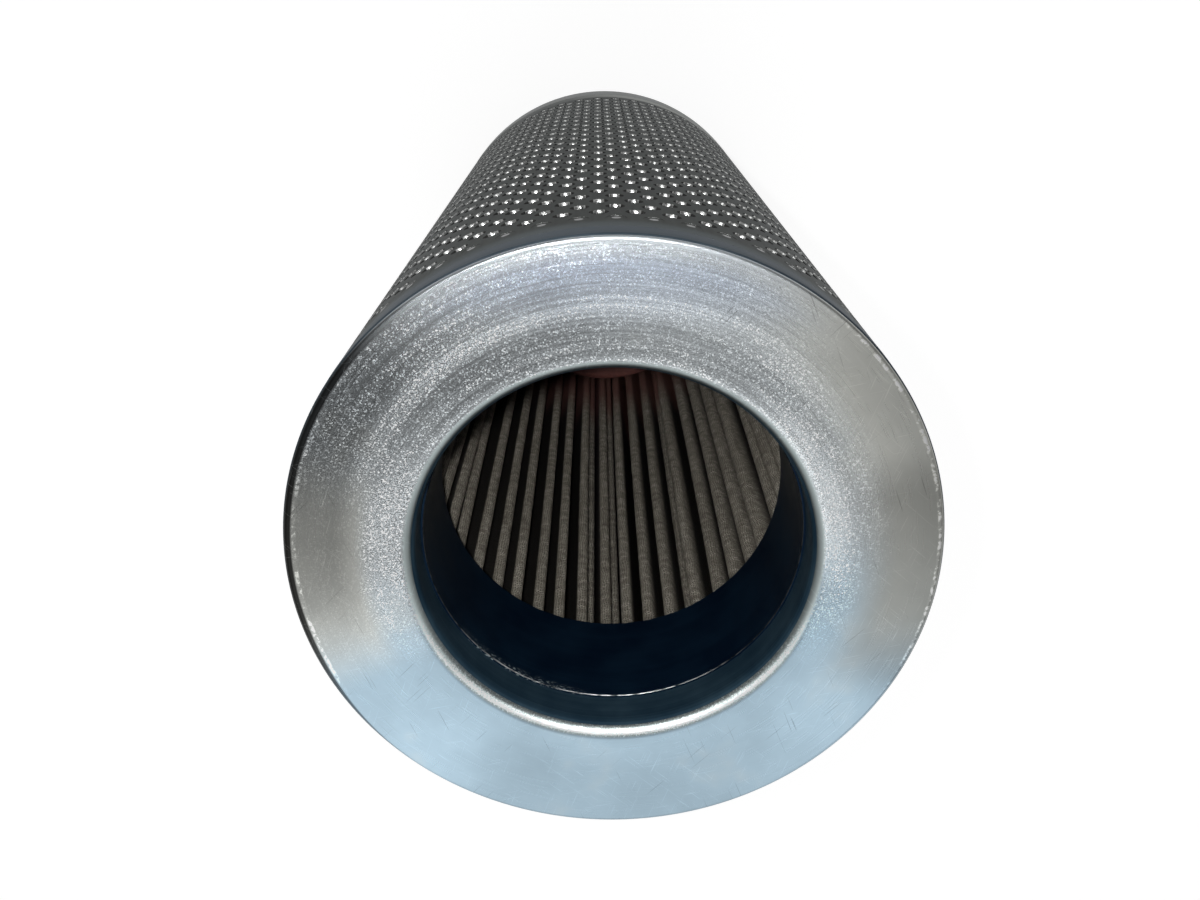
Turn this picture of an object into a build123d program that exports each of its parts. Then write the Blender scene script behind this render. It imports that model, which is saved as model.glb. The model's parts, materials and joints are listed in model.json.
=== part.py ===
from build123d import *
from math import cos, floor, hypot, isclose, radians, sin
import os

# A replaceable hydraulic filter element that stands on its closed rear cap. The axis is +Z, and the
# origin is in the middle of the rear cap's face. Oil enters through the open bore at the top, passes
# outwards through the pleated pack and leaves through the perforated tube. All sizes are millimetres.

# Overall sizes
LENGTH = 328.0             # over both end caps
OUTER_RADIUS = 75.0        # the caps' rims and the tube are flush
BORE_SHARE = 0.6           # bore radius as a share of the outer radius
BORE_RADIUS = BORE_SHARE * OUTER_RADIUS    # inside of the sealing sleeve and of the cup

# End caps, stamped from sheet
CAP_SHEET = 1.5
RIM_BEND_RADIUS = 2.0      # outside of the bend between the face and the rim
LIP_RADIUS = 3.0           # rounding of the face into the bore
NECK_DEPTH = 12.0          # drawn neck, from the face
NECK_STEP = 0.6            # radial step from the neck to the sleeve behind it
FRONT_RIM_HEIGHT = 8.0     # visible rim, from the face to the tube's end
REAR_RIM_HEIGHT = 20.0
SKIRT_LAP = 12.0           # the skirt reaches this far inside the tube

# Sleeve at the open end and blind cup at the closed end, drawn from the same sheet
SLEEVE_SHEET = 1.5
SLEEVE_DEPTH = 46.0        # from the front face to the sleeve's inner end
CUP_HEIGHT = 71.0          # from the rear face to the top of the cup's floor
CUP_BEND_RADIUS = 3.0      # outside of the bend between the cup's wall and its floor

# Perforated tube, rolled from sheet. A coarse grid of wide openings stands for the many small holes,
# with about the same open share, and each round hole is simplified to a few sides.
TUBE_SHEET = 1.0
TUBE_SLIP = 0.25           # radial gap between the tube and the caps' skirts
HOLE_DIAMETER = 25.0
HOLE_SIDES = 6
HOLES_PER_ROW = 12
ROW_SPACING = 35.0
ROW_STAGGER = 0.5          # share of the hole pitch by which every second row is turned
FRONT_MARGIN = 12.0        # from the tube's end to the nearest edge of a hole
REAR_MARGIN = 14.0

# Pleated pack, from the bore outwards: mesh, filter layer, mesh
PLEATS = 45
INNER_MESH_SHEET = 0.4
MEDIUM_SHEET = 0.5
OUTER_MESH_SHEET = 0.4
LAYER_GAP = 0.05
FOLD_WIDTH = 3.3           # flat of a fold, across the whole pack
PACK_CLEARANCE = 0.3       # from the pack to the neck, the sleeve and the skirts
SEAM_ANGLE = 2.5           # degrees from +Y, where the pack's two ends meet

# Adhesive in the caps
FRONT_POTTING_HEIGHT = 7.0
REAR_POTTING_HEIGHT = 10.0
POTTING_GAP = 0.1          # radial, to the neck and to the skirt

# Strip that holds the pack's two ends together
CLIP_SHEET = 0.6
CLIP_DEPTH = 8.0           # how far the strip's legs reach inwards
CLIP_SLIP = 0.1

# Largest difference between two heights or radii that are meant to be the same
SAME = 1e-6

# Sizes that follow
NECK_RADIUS = BORE_RADIUS + NECK_STEP
NECK_OUTER_RADIUS = NECK_RADIUS + CAP_SHEET
SLEEVE_OUTER_RADIUS = BORE_RADIUS + SLEEVE_SHEET
TUBE_INNER_RADIUS = OUTER_RADIUS - TUBE_SHEET
TUBE_BOTTOM = REAR_RIM_HEIGHT
TUBE_TOP = LENGTH - FRONT_RIM_HEIGHT
SKIRT_RADIUS = TUBE_INNER_RADIUS - TUBE_SLIP
SKIRT_INNER_RADIUS = SKIRT_RADIUS - CAP_SHEET
PACK_SHEET = INNER_MESH_SHEET + MEDIUM_SHEET + OUTER_MESH_SHEET + 2 * LAYER_GAP
PACK_INNER_RADIUS = max(NECK_OUTER_RADIUS, SLEEVE_OUTER_RADIUS) + PACK_CLEARANCE
PACK_OUTER_RADIUS = SKIRT_INNER_RADIUS - PACK_CLEARANCE - CLIP_SHEET - CLIP_SLIP
PACK_BOTTOM = CAP_SHEET + REAR_POTTING_HEIGHT
PACK_TOP = LENGTH - CAP_SHEET - FRONT_POTTING_HEIGHT


def turned(x, y, angle):
    """The point (x, y) turned clockwise about the axis by an angle in degrees."""
    a = radians(angle)
    return (x * cos(a) + y * sin(a), y * cos(a) - x * sin(a))


def moved_left(line, distance):
    """An open line's points moved sideways to its left, with mitred corners."""
    normals = []
    for (x1, y1), (x2, y2) in zip(line, line[1:]):
        run = hypot(x2 - x1, y2 - y1)
        normals.append(((y1 - y2) / run, (x2 - x1) / run))
    before = [normals[0]] + normals
    after = normals + [normals[-1]]
    moved = []
    for (x, y), (ax, ay), (bx, by) in zip(line, before, after):
        share = distance / (1 + ax * bx + ay * by)
        moved.append((x + share * (ax + bx), y + share * (ay + by)))
    return moved


def strip(line, start, thickness):
    """Outline of a sheet along a line, from one distance to the line's left over a thickness."""
    near = moved_left(line, start)
    far = moved_left(line, start + thickness)
    return near + far[::-1]


def turned_sheet(line, thickness):
    """Solid of revolution of a sheet whose outside follows a line of (radius, height) points.

    The sheet lies to the line's left, or to its right where the thickness is negative.
    """
    outline = Polyline(*strip(line, 0, thickness), close=True)
    return revolve(Plane.XZ * make_face(outline), Axis.Z)


def bent(shape, radius, height, bend):
    """Round a turned sheet's circular edge at a radius and a height. Hidden corners stay sharp."""
    circles = shape.edges().filter_by(GeomType.CIRCLE)
    level = [circle for circle in circles if isclose(circle.arc_center.Z, height, abs_tol=SAME)]
    return fillet([circle for circle in level if isclose(circle.radius, radius, abs_tol=SAME)], bend)


def ring(inner_radius, outer_radius, bottom, top):
    """Plain ring between two radii and two heights."""
    disc = Circle(outer_radius) - Circle(inner_radius)
    return Pos(0, 0, bottom) * extrude(disc, top - bottom)


def end_cap(face, inward, rim_height):
    """Stamped cap with its face at a height; inward is 1 or -1, the way to the filter's middle.

    The rim is flush with the tube. Past the rim the sheet steps inwards by the tube's wall and slip,
    and the skirt goes on inside the tube.
    """
    outside = [
        (NECK_RADIUS, inward * NECK_DEPTH),
        (NECK_RADIUS, 0),
        (OUTER_RADIUS, 0),
        (OUTER_RADIUS, inward * rim_height),
        (SKIRT_RADIUS, inward * rim_height),
        (SKIRT_RADIUS, inward * (rim_height + SKIRT_LAP)),
    ]
    cap = turned_sheet(outside, inward * CAP_SHEET)
    cap = bent(cap, NECK_RADIUS, 0, LIP_RADIUS)
    return Pos(0, 0, face) * bent(cap, OUTER_RADIUS, 0, RIM_BEND_RADIUS)


def front_sleeve():
    """Sealing sleeve, butted against the front cap's neck."""
    return ring(BORE_RADIUS, SLEEVE_OUTER_RADIUS, LENGTH - SLEEVE_DEPTH, LENGTH - NECK_DEPTH)


def rear_cup():
    """Blind cup that closes the rear end, open to the rear and butted against the cap's neck."""
    outside = [(SLEEVE_OUTER_RADIUS, NECK_DEPTH), (SLEEVE_OUTER_RADIUS, CUP_HEIGHT), (0, CUP_HEIGHT)]
    cup = turned_sheet(outside, SLEEVE_SHEET)
    return bent(cup, SLEEVE_OUTER_RADIUS, CUP_HEIGHT, CUP_BEND_RADIUS)


def perforated_tube():
    """Outer support tube with staggered rows of holes that run round it."""
    tube = ring(TUBE_INNER_RADIUS, OUTER_RADIUS, TUBE_BOTTOM, TUBE_TOP)
    first = TUBE_BOTTOM + REAR_MARGIN + HOLE_DIAMETER / 2
    last = TUBE_TOP - FRONT_MARGIN - HOLE_DIAMETER / 2
    spaces = floor((last - first) / ROW_SPACING)
    pitch = 360 / HOLES_PER_ROW
    outline = Plane.XZ * RegularPolygon(HOLE_DIAMETER / 2, HOLE_SIDES)
    punch = extrude(outline, 2 * TUBE_SHEET, both=True)
    holes = []
    for row in range(spaces + 1):
        height = first + (last - first) * row / spaces
        for place in range(HOLES_PER_ROW):
            angle = pitch * (place + ROW_STAGGER * (row % 2))
            holes.append(Rot(0, 0, angle) * Pos(0, OUTER_RADIUS - TUBE_SHEET / 2, height) * punch)
    return tube - holes


def pack_line():
    """Middle line of the folded pack, clockwise from one side of the seam round to the other.

    The seam stands where an outer fold would be. The two ends run straight out through the clip.
    """
    inner = PACK_INNER_RADIUS + PACK_SHEET / 2
    outer = PACK_OUTER_RADIUS - PACK_SHEET / 2
    half = (FOLD_WIDTH - PACK_SHEET) / 2
    pitch = 360 / PLEATS
    clip_end = PACK_OUTER_RADIUS - CLIP_DEPTH - CLIP_SLIP
    points = [turned(half, PACK_OUTER_RADIUS, SEAM_ANGLE), turned(half, clip_end, SEAM_ANGLE)]
    for pleat in range(PLEATS):
        crest = SEAM_ANGLE + pitch * (pleat + 0.5)
        points += [turned(-half, inner, crest), turned(half, inner, crest)]
        if pleat < PLEATS - 1:
            fold = crest + pitch / 2
            points += [turned(-half, outer, fold), turned(half, outer, fold)]
    points += [turned(-half, clip_end, SEAM_ANGLE), turned(-half, PACK_OUTER_RADIUS, SEAM_ANGLE)]
    return points


def pleated_layer(start, sheet):
    """One folded layer of the pack, that starts this far out from the pack's bore side."""
    outline = Polyline(*strip(pack_line(), start - PACK_SHEET / 2, sheet), close=True)
    return Pos(0, 0, PACK_BOTTOM) * extrude(make_face(outline), PACK_TOP - PACK_BOTTOM)


def seam_clip():
    """Folded strip that holds the pack's two ends together along the whole seam."""
    inside = FOLD_WIDTH / 2 + CLIP_SLIP
    top = PACK_OUTER_RADIUS + CLIP_SLIP
    bottom = PACK_OUTER_RADIUS - CLIP_DEPTH
    channel = Polyline(
        *strip([(-inside, bottom), (-inside, top), (inside, top), (inside, bottom)], 0, CLIP_SHEET),
        close=True,
    )
    strip_solid = extrude(make_face(channel), PACK_TOP - PACK_BOTTOM)
    return Pos(0, 0, PACK_BOTTOM) * Rot(0, 0, -SEAM_ANGLE) * strip_solid


def potting(bottom, top):
    """Ring of adhesive between a cap's neck and its skirt, that bonds the pack's folds to the cap."""
    inner_radius = NECK_OUTER_RADIUS + POTTING_GAP
    outer_radius = SKIRT_INNER_RADIUS - POTTING_GAP
    return ring(inner_radius, outer_radius, bottom, top)


def save(name, shape):
    """Write one piece as parts/NAME.step."""
    shape.label = name
    export_step(shape, f"parts/{name}.step")


def main():
    """Make every piece in its place and write it."""
    os.makedirs("parts", exist_ok=True)
    save("front_end_cap", end_cap(LENGTH, -1, FRONT_RIM_HEIGHT))
    save("rear_end_cap", end_cap(0, 1, REAR_RIM_HEIGHT))
    save("front_sleeve", front_sleeve())
    save("rear_cup", rear_cup())
    save("perforated_tube", perforated_tube())
    save("inner_support_mesh", pleated_layer(0, INNER_MESH_SHEET))
    save("filter_medium", pleated_layer(INNER_MESH_SHEET + LAYER_GAP, MEDIUM_SHEET))
    save("outer_support_mesh", pleated_layer(PACK_SHEET - OUTER_MESH_SHEET, OUTER_MESH_SHEET))
    save("seam_clip", seam_clip())
    save("front_potting", potting(PACK_TOP, LENGTH - CAP_SHEET))
    save("rear_potting", potting(CAP_SHEET, PACK_BOTTOM))


main()
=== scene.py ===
"""Visual model of a hydraulic filter element: zinc-plated caps, a perforated tube, a pleated wire pack.

Everything is in metres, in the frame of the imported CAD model: the element stands on its closed end at
z = 0 and its bore opens upwards. +Y is the side that the photograph's camera leans to.
"""

import json
import logging
import math
from dataclasses import dataclass
from enum import Enum
from random import Random

import bmesh
import bpy
import numpy as np
from mathutils import Matrix, Vector


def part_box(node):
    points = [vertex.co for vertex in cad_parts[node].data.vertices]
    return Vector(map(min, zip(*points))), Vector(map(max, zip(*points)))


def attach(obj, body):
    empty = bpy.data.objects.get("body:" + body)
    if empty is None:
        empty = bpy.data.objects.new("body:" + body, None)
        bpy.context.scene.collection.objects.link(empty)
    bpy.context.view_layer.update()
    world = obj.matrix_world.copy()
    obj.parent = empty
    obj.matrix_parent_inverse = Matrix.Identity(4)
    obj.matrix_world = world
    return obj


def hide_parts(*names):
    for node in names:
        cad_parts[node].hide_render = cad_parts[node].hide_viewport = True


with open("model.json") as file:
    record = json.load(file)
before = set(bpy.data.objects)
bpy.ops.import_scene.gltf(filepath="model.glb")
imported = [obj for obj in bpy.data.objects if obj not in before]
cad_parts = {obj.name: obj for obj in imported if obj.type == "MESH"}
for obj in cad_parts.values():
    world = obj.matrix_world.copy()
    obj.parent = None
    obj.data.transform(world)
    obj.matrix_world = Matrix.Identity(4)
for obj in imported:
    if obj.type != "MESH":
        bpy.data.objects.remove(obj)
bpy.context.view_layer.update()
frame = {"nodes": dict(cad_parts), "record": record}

MM = 0.001
BODY = "root"
LOG = logging.getLogger("filter_element")

Point = tuple[float, float]
Place = tuple[float, float, float]
Colour = tuple[float, float, float]
Ring = list[Point]


class Slot(Enum):
    """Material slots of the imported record."""

    ZINC = "zinc_plate"
    DARK_STEEL = "dark_steel"
    PRIMER = "red_primer"
    TUBE = "tube_steel"
    WIRE = "wire_cloth"
    FIBRE = "filter_fibre"
    ADHESIVE = "adhesive"


class Facing(Enum):
    """Which way a face of the perforated sheet looks, for its shading normal."""

    OUTWARDS = 0
    INWARDS = 1
    BRIGHT_WALL = 2
    PAINTED_SHADE_WALL = 3
    ALONG_AXIS = 4


def polar(radius: float, angle: float) -> Point:
    """Point at a radius and an angle in radians, counted clockwise from +Y."""
    return radius * math.sin(angle), radius * math.cos(angle)


def arc(centre: Point, radius: float, start: float, end: float, steps: int) -> Ring:
    """Points along an arc.

    Args:
        centre: Middle of the arc's circle.
        radius: Radius of the circle.
        start: First angle in degrees, counted from the first axis towards the second.
        end: Last angle in degrees.
        steps: Number of chords.

    Returns:
        The chords' ends, first and last included.
    """
    points = []
    for step in range(steps + 1):
        angle = math.radians(start + (end - start) * step / steps)
        points.append((centre[0] + radius * math.cos(angle), centre[1] + radius * math.sin(angle)))
    return points


@dataclass(frozen=True)
class ElementSizes:
    """Sizes of the element in metres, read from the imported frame."""

    length: float
    outer_radius: float
    bore_radius: float
    sleeve_outer_radius: float
    sleeve_bottom: float
    sleeve_top: float
    cup_top: float
    tube_bottom: float
    tube_top: float
    front_skirt_end: float
    rear_skirt_end: float
    pack_bottom: float
    pack_top: float
    pack_outer_radius: float

    @classmethod
    def from_frame(cls) -> "ElementSizes":
        """Read the sizes from the CAD nodes' boxes and the record's bore."""
        mounts = {mount["name"]: mount for mount in frame["record"]["mounts"]}
        front_low, front_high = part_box("front_end_cap")
        tube_low, tube_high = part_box("perforated_tube")
        sleeve_low, sleeve_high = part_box("front_sleeve")
        pack_low, pack_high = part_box("outer_support_mesh")
        return cls(
            length=front_high.z,
            outer_radius=(front_high.x - front_low.x) / 2,
            bore_radius=mounts["front_bore"]["dims"]["r_mm"] * MM,
            sleeve_outer_radius=(sleeve_high.x - sleeve_low.x) / 2,
            sleeve_bottom=sleeve_low.z,
            sleeve_top=sleeve_high.z,
            cup_top=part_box("rear_cup")[1].z,
            tube_bottom=tube_low.z,
            tube_top=tube_high.z,
            front_skirt_end=front_low.z,
            rear_skirt_end=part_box("rear_end_cap")[1].z,
            pack_bottom=pack_low.z,
            pack_top=pack_high.z,
            pack_outer_radius=pack_high.y,
        )

    @property
    def neck_depth(self) -> float:
        """Depth of a cap's drawn neck, from its face."""
        return self.length - self.sleeve_top


class Graph:
    """A material's node graph around one Principled shader."""

    def __init__(self, name: str) -> None:
        """Start a material.

        Args:
            name: The material's name.
        """
        self.material = bpy.data.materials.new(name)
        self.material.use_nodes = True
        self.tree = self.material.node_tree
        self.shader = self.tree.nodes["Principled BSDF"]
        self.place = self.node("ShaderNodeTexCoord").outputs["Object"]

    def node(self, kind: str, **settings: object) -> bpy.types.Node:
        """Add a node and set its properties."""
        node = self.tree.nodes.new(kind)
        for key, value in settings.items():
            setattr(node, key, value)
        return node

    def feed(self, socket: bpy.types.NodeSocket, value: object) -> None:
        """Link a socket where the value is another socket, and set it otherwise."""
        if isinstance(value, bpy.types.NodeSocket):
            self.tree.links.new(value, socket)
        else:
            socket.default_value = value

    def math(self, operation: str, *terms: object, clamp: bool = False) -> bpy.types.NodeSocket:
        """Work out one step of arithmetic.

        Args:
            operation: Blender's name of the operation.
            terms: Its one to three terms.
            clamp: Whether the result is kept between 0 and 1.

        Returns:
            The result's socket.
        """
        node = self.node("ShaderNodeMath", operation=operation, use_clamp=clamp)
        for socket, term in zip(node.inputs, terms):
            self.feed(socket, term)
        return node.outputs[0]

    def split(self, vector: bpy.types.NodeSocket) -> list[bpy.types.NodeSocket]:
        """Split a vector into its three parts."""
        node = self.node("ShaderNodeSeparateXYZ")
        self.feed(node.inputs[0], vector)
        return list(node.outputs)

    def join(self, *parts: object) -> bpy.types.NodeSocket:
        """Join three parts into a vector."""
        node = self.node("ShaderNodeCombineXYZ")
        for socket, part in zip(node.inputs, parts):
            self.feed(socket, part)
        return node.outputs[0]

    def turned_place(self, round_scale: float, height_scale: float) -> bpy.types.NodeSocket:
        """Place on a body of revolution as (radius, direction x, direction y) for textures.

        Args:
            round_scale: How fast the texture changes round the axis.
            height_scale: How much the height adds to the radius, so that walls have rings as well.

        Returns:
            A vector whose first part is the radius plus the scaled height, in metres.
        """
        x, y, z = self.split(self.place)
        radius = self.math("SQRT", self.math("ADD", self.math("MULTIPLY", x, x), self.math("MULTIPLY", y, y)))
        along = self.math("MULTIPLY_ADD", z, height_scale, radius)
        east = self.math("MULTIPLY", self.math("DIVIDE", x, radius), round_scale)
        north = self.math("MULTIPLY", self.math("DIVIDE", y, radius), round_scale)
        return self.join(along, east, north)

    def radius(self) -> bpy.types.NodeSocket:
        """Distance from the axis, in metres."""
        x, y, _ = self.split(self.place)
        return self.math("SQRT", self.math("ADD", self.math("MULTIPLY", x, x), self.math("MULTIPLY", y, y)))

    def towards(self, degrees: float) -> bpy.types.NodeSocket:
        """How far a place lies towards an angle clockwise from +Y: 1 there, 0 a quarter turn away."""
        x, y, _ = self.split(self.place)
        east, north = polar(1.0, math.radians(degrees))
        along = self.math("MULTIPLY_ADD", x, east, self.math("MULTIPLY", y, north))
        return self.math("DIVIDE", along, self.radius())

    def scaled(self, vector: bpy.types.NodeSocket, x: float, y: float, z: float) -> bpy.types.NodeSocket:
        """Scale a vector along each axis."""
        node = self.node("ShaderNodeVectorMath", operation="MULTIPLY")
        self.feed(node.inputs[0], vector)
        node.inputs[1].default_value = (x, y, z)
        return node.outputs[0]

    def tilted(self, x: float, y: float, z: float, degrees: float) -> bpy.types.NodeSocket:
        """Object place turned about the axis by an angle, then scaled."""
        node = self.node("ShaderNodeVectorRotate", rotation_type="Z_AXIS")
        self.feed(node.inputs["Vector"], self.place)
        node.inputs["Angle"].default_value = math.radians(degrees)
        return self.scaled(node.outputs[0], x, y, z)

    def noise(
        self, vector: bpy.types.NodeSocket, scale: float, detail: float = 2.0, rough: float = 0.5
    ) -> bpy.types.NodeSocket:
        """Soft noise from 0 to 1.

        Args:
            vector: Where it is read.
            scale: Blobs per unit.
            detail: Number of finer octaves.
            rough: How strong the finer octaves are.

        Returns:
            The noise's socket.
        """
        node = self.node("ShaderNodeTexNoise", noise_dimensions="3D")
        self.feed(node.inputs["Vector"], vector)
        node.inputs["Scale"].default_value = scale
        node.inputs["Detail"].default_value = detail
        node.inputs["Roughness"].default_value = rough
        return node.outputs["Fac"]

    def cells(self, vector: bpy.types.NodeSocket, scale: float) -> bpy.types.NodeSocket:
        """Random value from 0 to 1 for each small cell, with `scale` cells per unit."""
        node = self.node("ShaderNodeTexVoronoi", voronoi_dimensions="3D", feature="F1")
        self.feed(node.inputs["Vector"], vector)
        node.inputs["Scale"].default_value = scale
        return self.split(node.outputs["Color"])[0]

    def ranged(
        self, value: bpy.types.NodeSocket, low: float, high: float, to_low: float = 0.0, to_high: float = 1.0
    ) -> bpy.types.NodeSocket:
        """Map a range of a value onto another, with soft clamped ends."""
        node = self.node("ShaderNodeMapRange", interpolation_type="SMOOTHSTEP")
        for socket, number in zip(node.inputs, (value, low, high, to_low, to_high)):
            self.feed(socket, number)
        return node.outputs[0]

    def mixed(self, share: object, first: object, second: object) -> bpy.types.NodeSocket:
        """Mix two colours, each a colour or a socket."""
        node = self.node("ShaderNodeMix", data_type="RGBA")
        self.feed(node.inputs["Factor"], share)
        for socket, colour in ((node.inputs[6], first), (node.inputs[7], second)):
            self.feed(socket, (*colour, 1.0) if isinstance(colour, tuple) else colour)
        return node.outputs[2]

    def bumped(
        self, height: bpy.types.NodeSocket, distance: float, strength: object = 1.0, under: object = None
    ) -> bpy.types.NodeSocket:
        """Turn a height into a normal.

        Args:
            height: Height from 0 to 1.
            distance: What a height of 1 is, in metres.
            strength: Share of it that counts, a number or a socket.
            under: Normal of a coarser bump below this one.

        Returns:
            The normal's socket.
        """
        node = self.node("ShaderNodeBump")
        self.feed(node.inputs["Height"], height)
        node.inputs["Distance"].default_value = distance
        self.feed(node.inputs["Strength"], strength)
        if under is not None:
            self.feed(node.inputs["Normal"], under)
        return node.outputs[0]

    def finish(self, **sockets: object) -> bpy.types.Material:
        """Feed the shader's sockets, named with underscores for spaces, and return the material."""
        for name, value in sockets.items():
            socket = self.shader.inputs[name.replace("_", " ")]
            self.feed(socket, (*value, 1.0) if isinstance(value, tuple) and len(value) == 3 else value)
        return self.material


@dataclass(frozen=True)
class ZincPlate:
    """Bright zinc plate on a stamped face: a smooth bluish part and a part that sparkles in rings."""

    sizes: ElementSizes
    cool: Colour = (0.42, 0.56, 0.66)
    warm: Colour = (0.62, 0.62, 0.57)
    plain: Colour = (0.60, 0.64, 0.66)
    lip: Colour = (0.60, 0.68, 0.68)
    speck_size: float = 0.29 * MM
    ring_width: float = 0.40 * MM
    groove_width: float = 0.55 * MM
    arc_width: float = 2.6 * MM
    cloud_size: float = 22.0 * MM
    tones: tuple[Point, ...] = (
        (0.64, 0.80), (0.67, 0.54), (0.71, 0.52), (0.745, 0.52), (0.80, 1.08), (0.86, 0.76), (0.92, 0.70),
        (0.96, 0.86), (0.985, 0.90),
    )
    # Painted shade patches as (degrees, width, inner radius share, depth); a negative depth paints light instead.
    patches: tuple[tuple[float, float, float, float], ...] = (
        (287.0, 0.26, 0.70, 0.55), (94.0, 0.14, 0.69, 0.32), (238.0, 0.22, 0.54, -0.17), (116.0, 0.16, 0.54, -0.10),
    )
    painted_sky_reflection: Colour = (0.54, 0.62, 0.76)

    def build(self) -> bpy.types.Material:
        """Build the material."""
        graph = Graph("zinc_plate")
        outer = self.sizes.outer_radius
        x, y, _ = graph.split(graph.place)
        radius = graph.radius()
        upper = graph.ranged(self.leaning(graph, x, y), -0.34 * outer, 0.12 * outer)
        widening = graph.ranged(y, -0.15 * outer, -0.40 * outer, 0.0, 0.010 * outer)
        off_lip = graph.ranged(graph.math("SUBTRACT", radius, widening), 0.634 * outer, 0.645 * outer)
        off_edge = graph.ranged(radius, 0.985 * outer, 0.970 * outer)
        smooth_side = graph.math(
            "MULTIPLY", graph.ranged(x, 0.30 * outer, 0.70 * outer), graph.ranged(radius, 0.70 * outer, 0.88 * outer)
        )
        sparkling = graph.math("MULTIPLY", upper, graph.math("SUBTRACT", 1.0, smooth_side))
        sparkling = graph.math("MULTIPLY", sparkling, graph.ranged(x, 0.35 * outer, -0.45 * outer, 0.62, 1.0))
        at_lip = graph.math("MULTIPLY", graph.ranged(radius, 0.80 * outer, 0.69 * outer), 0.6)
        at_lip = graph.math("MULTIPLY", at_lip, graph.ranged(y, -0.40 * outer, -0.08 * outer))
        sparkling = graph.math("MAXIMUM", sparkling, at_lip)
        sparkling = graph.math("MULTIPLY", sparkling, graph.math("MULTIPLY", off_lip, off_edge))
        dulled = graph.math(
            "MULTIPLY", graph.ranged(graph.towards(268.0), 0.88, 0.995), graph.ranged(radius, 0.72 * outer, 0.80 * outer)
        )
        sparkling = graph.math("MULTIPLY", sparkling, graph.math("MULTIPLY_ADD", dulled, -0.85, 1.0))
        on_lip = graph.math("MULTIPLY", graph.math("SUBTRACT", 1.0, off_lip), 0.5)
        on_lip = graph.math("MULTIPLY", on_lip, graph.ranged(y, -0.15 * outer, -0.36 * outer))
        sparkling = graph.math("MAXIMUM", sparkling, on_lip)
        shaded = self.shaded(graph, radius)
        clouds = graph.noise(graph.place, 1 / self.cloud_size, 3.0, 0.6)
        arcs = graph.noise(graph.turned_place(2.2 * self.arc_width, 0.6), 1 / self.arc_width, 2.0, 0.6)
        rings = graph.noise(graph.turned_place(6.0 * self.ring_width, 1.0), 1 / self.ring_width, 1.0)
        specks = graph.noise(graph.place, 1 / self.speck_size, 1.0, 0.5)
        cells = graph.cells(graph.place, 1 / self.speck_size)
        flakes = graph.noise(graph.turned_place(1.6 * self.speck_size * 75, 1.0), 1 / self.speck_size, 0.0)
        colour = self.base_colour(graph, y, clouds, upper)
        beside = graph.math("MULTIPLY", smooth_side, graph.ranged(y, -0.52 * outer, -0.14 * outer, 0.0, 0.85))
        colour = graph.mixed(graph.math("MAXIMUM", beside, graph.math("MULTIPLY", dulled, 0.8)), colour, self.warm)
        # Painted reflection: a bluish sky tint on the top of the face, weaker at the very rim.
        tinted = graph.math(
            "MULTIPLY", graph.ranged(y, 0.70 * outer, 0.92 * outer, 0.0, 0.65), graph.ranged(radius, 0.97 * outer, 0.91 * outer, 0.2)
        )
        colour = graph.mixed(tinted, colour, self.painted_sky_reflection)
        colour = graph.mixed(off_lip, self.lip, colour)
        at_top = graph.math("MULTIPLY", graph.ranged(y, 0.10 * outer, 0.60 * outer), sparkling)
        tone = self.radial_tone(graph, graph.math("DIVIDE", radius, outer), at_top)
        # Painted light on the face: shade and a highlight line at the rim's bend, shade patches, and the lip's shade
        # and highlights.
        tone = graph.math("MULTIPLY", tone, self.edge(graph, radius, y))
        tone = graph.math("MULTIPLY", tone, shaded)
        tone = graph.math("MULTIPLY", tone, self.lip_tone(graph, radius, off_lip))
        grooves = graph.noise(graph.turned_place(0.9 * self.groove_width, 0.0), 1 / self.groove_width, 2.0, 0.7)
        grooves = graph.math("SUBTRACT", graph.ranged(grooves, 0.34, 0.66, 0.72, 1.28), 1.0)
        tone = graph.math("MULTIPLY", tone, graph.math("MULTIPLY_ADD", grooves, at_top, 1.0))
        glitter = graph.math("MULTIPLY", sparkling, graph.ranged(y, 0.60 * outer, 0.86 * outer, 1.0, 0.50))
        tone = graph.math("MULTIPLY", tone, self.speckle(graph, specks, cells, arcs, glitter))
        tone = graph.math("MULTIPLY", tone, graph.ranged(clouds, 0.30, 0.70, 0.92, 1.06))
        tone = graph.math("ADD", tone, graph.math("MULTIPLY", self.hairlines(graph), 0.22))
        tone = graph.math("MULTIPLY", tone, self.scratches(graph))
        tinted = graph.node("ShaderNodeVectorMath", operation="SCALE")
        graph.feed(tinted.inputs[0], colour)
        graph.feed(tinted.inputs["Scale"], tone)
        limited = graph.node("ShaderNodeVectorMath", operation="MINIMUM")
        graph.feed(limited.inputs[0], tinted.outputs[0])
        limited.inputs[1].default_value = (0.97, 0.97, 0.97)
        roughness = graph.math("MULTIPLY_ADD", rings, 0.10, 0.24)
        roughness = graph.math("MULTIPLY_ADD", sparkling, -0.04, roughness)
        roughness = graph.math("MULTIPLY_ADD", graph.math("SUBTRACT", 1.0, off_lip), 0.14, roughness)
        normal = graph.bumped(rings, 0.008 * MM, 0.6)
        normal = graph.bumped(
            graph.math("MULTIPLY_ADD", flakes, 0.5, specks), 0.060 * MM,
            graph.math("MULTIPLY_ADD", sparkling, 0.96, 0.02), normal,
        )
        return graph.finish(
            Base_Color=limited.outputs[0], Metallic=1.0, Roughness=roughness, Normal=normal,
            Anisotropic=0.35, Tangent=self.tangent(graph),
        )

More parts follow.
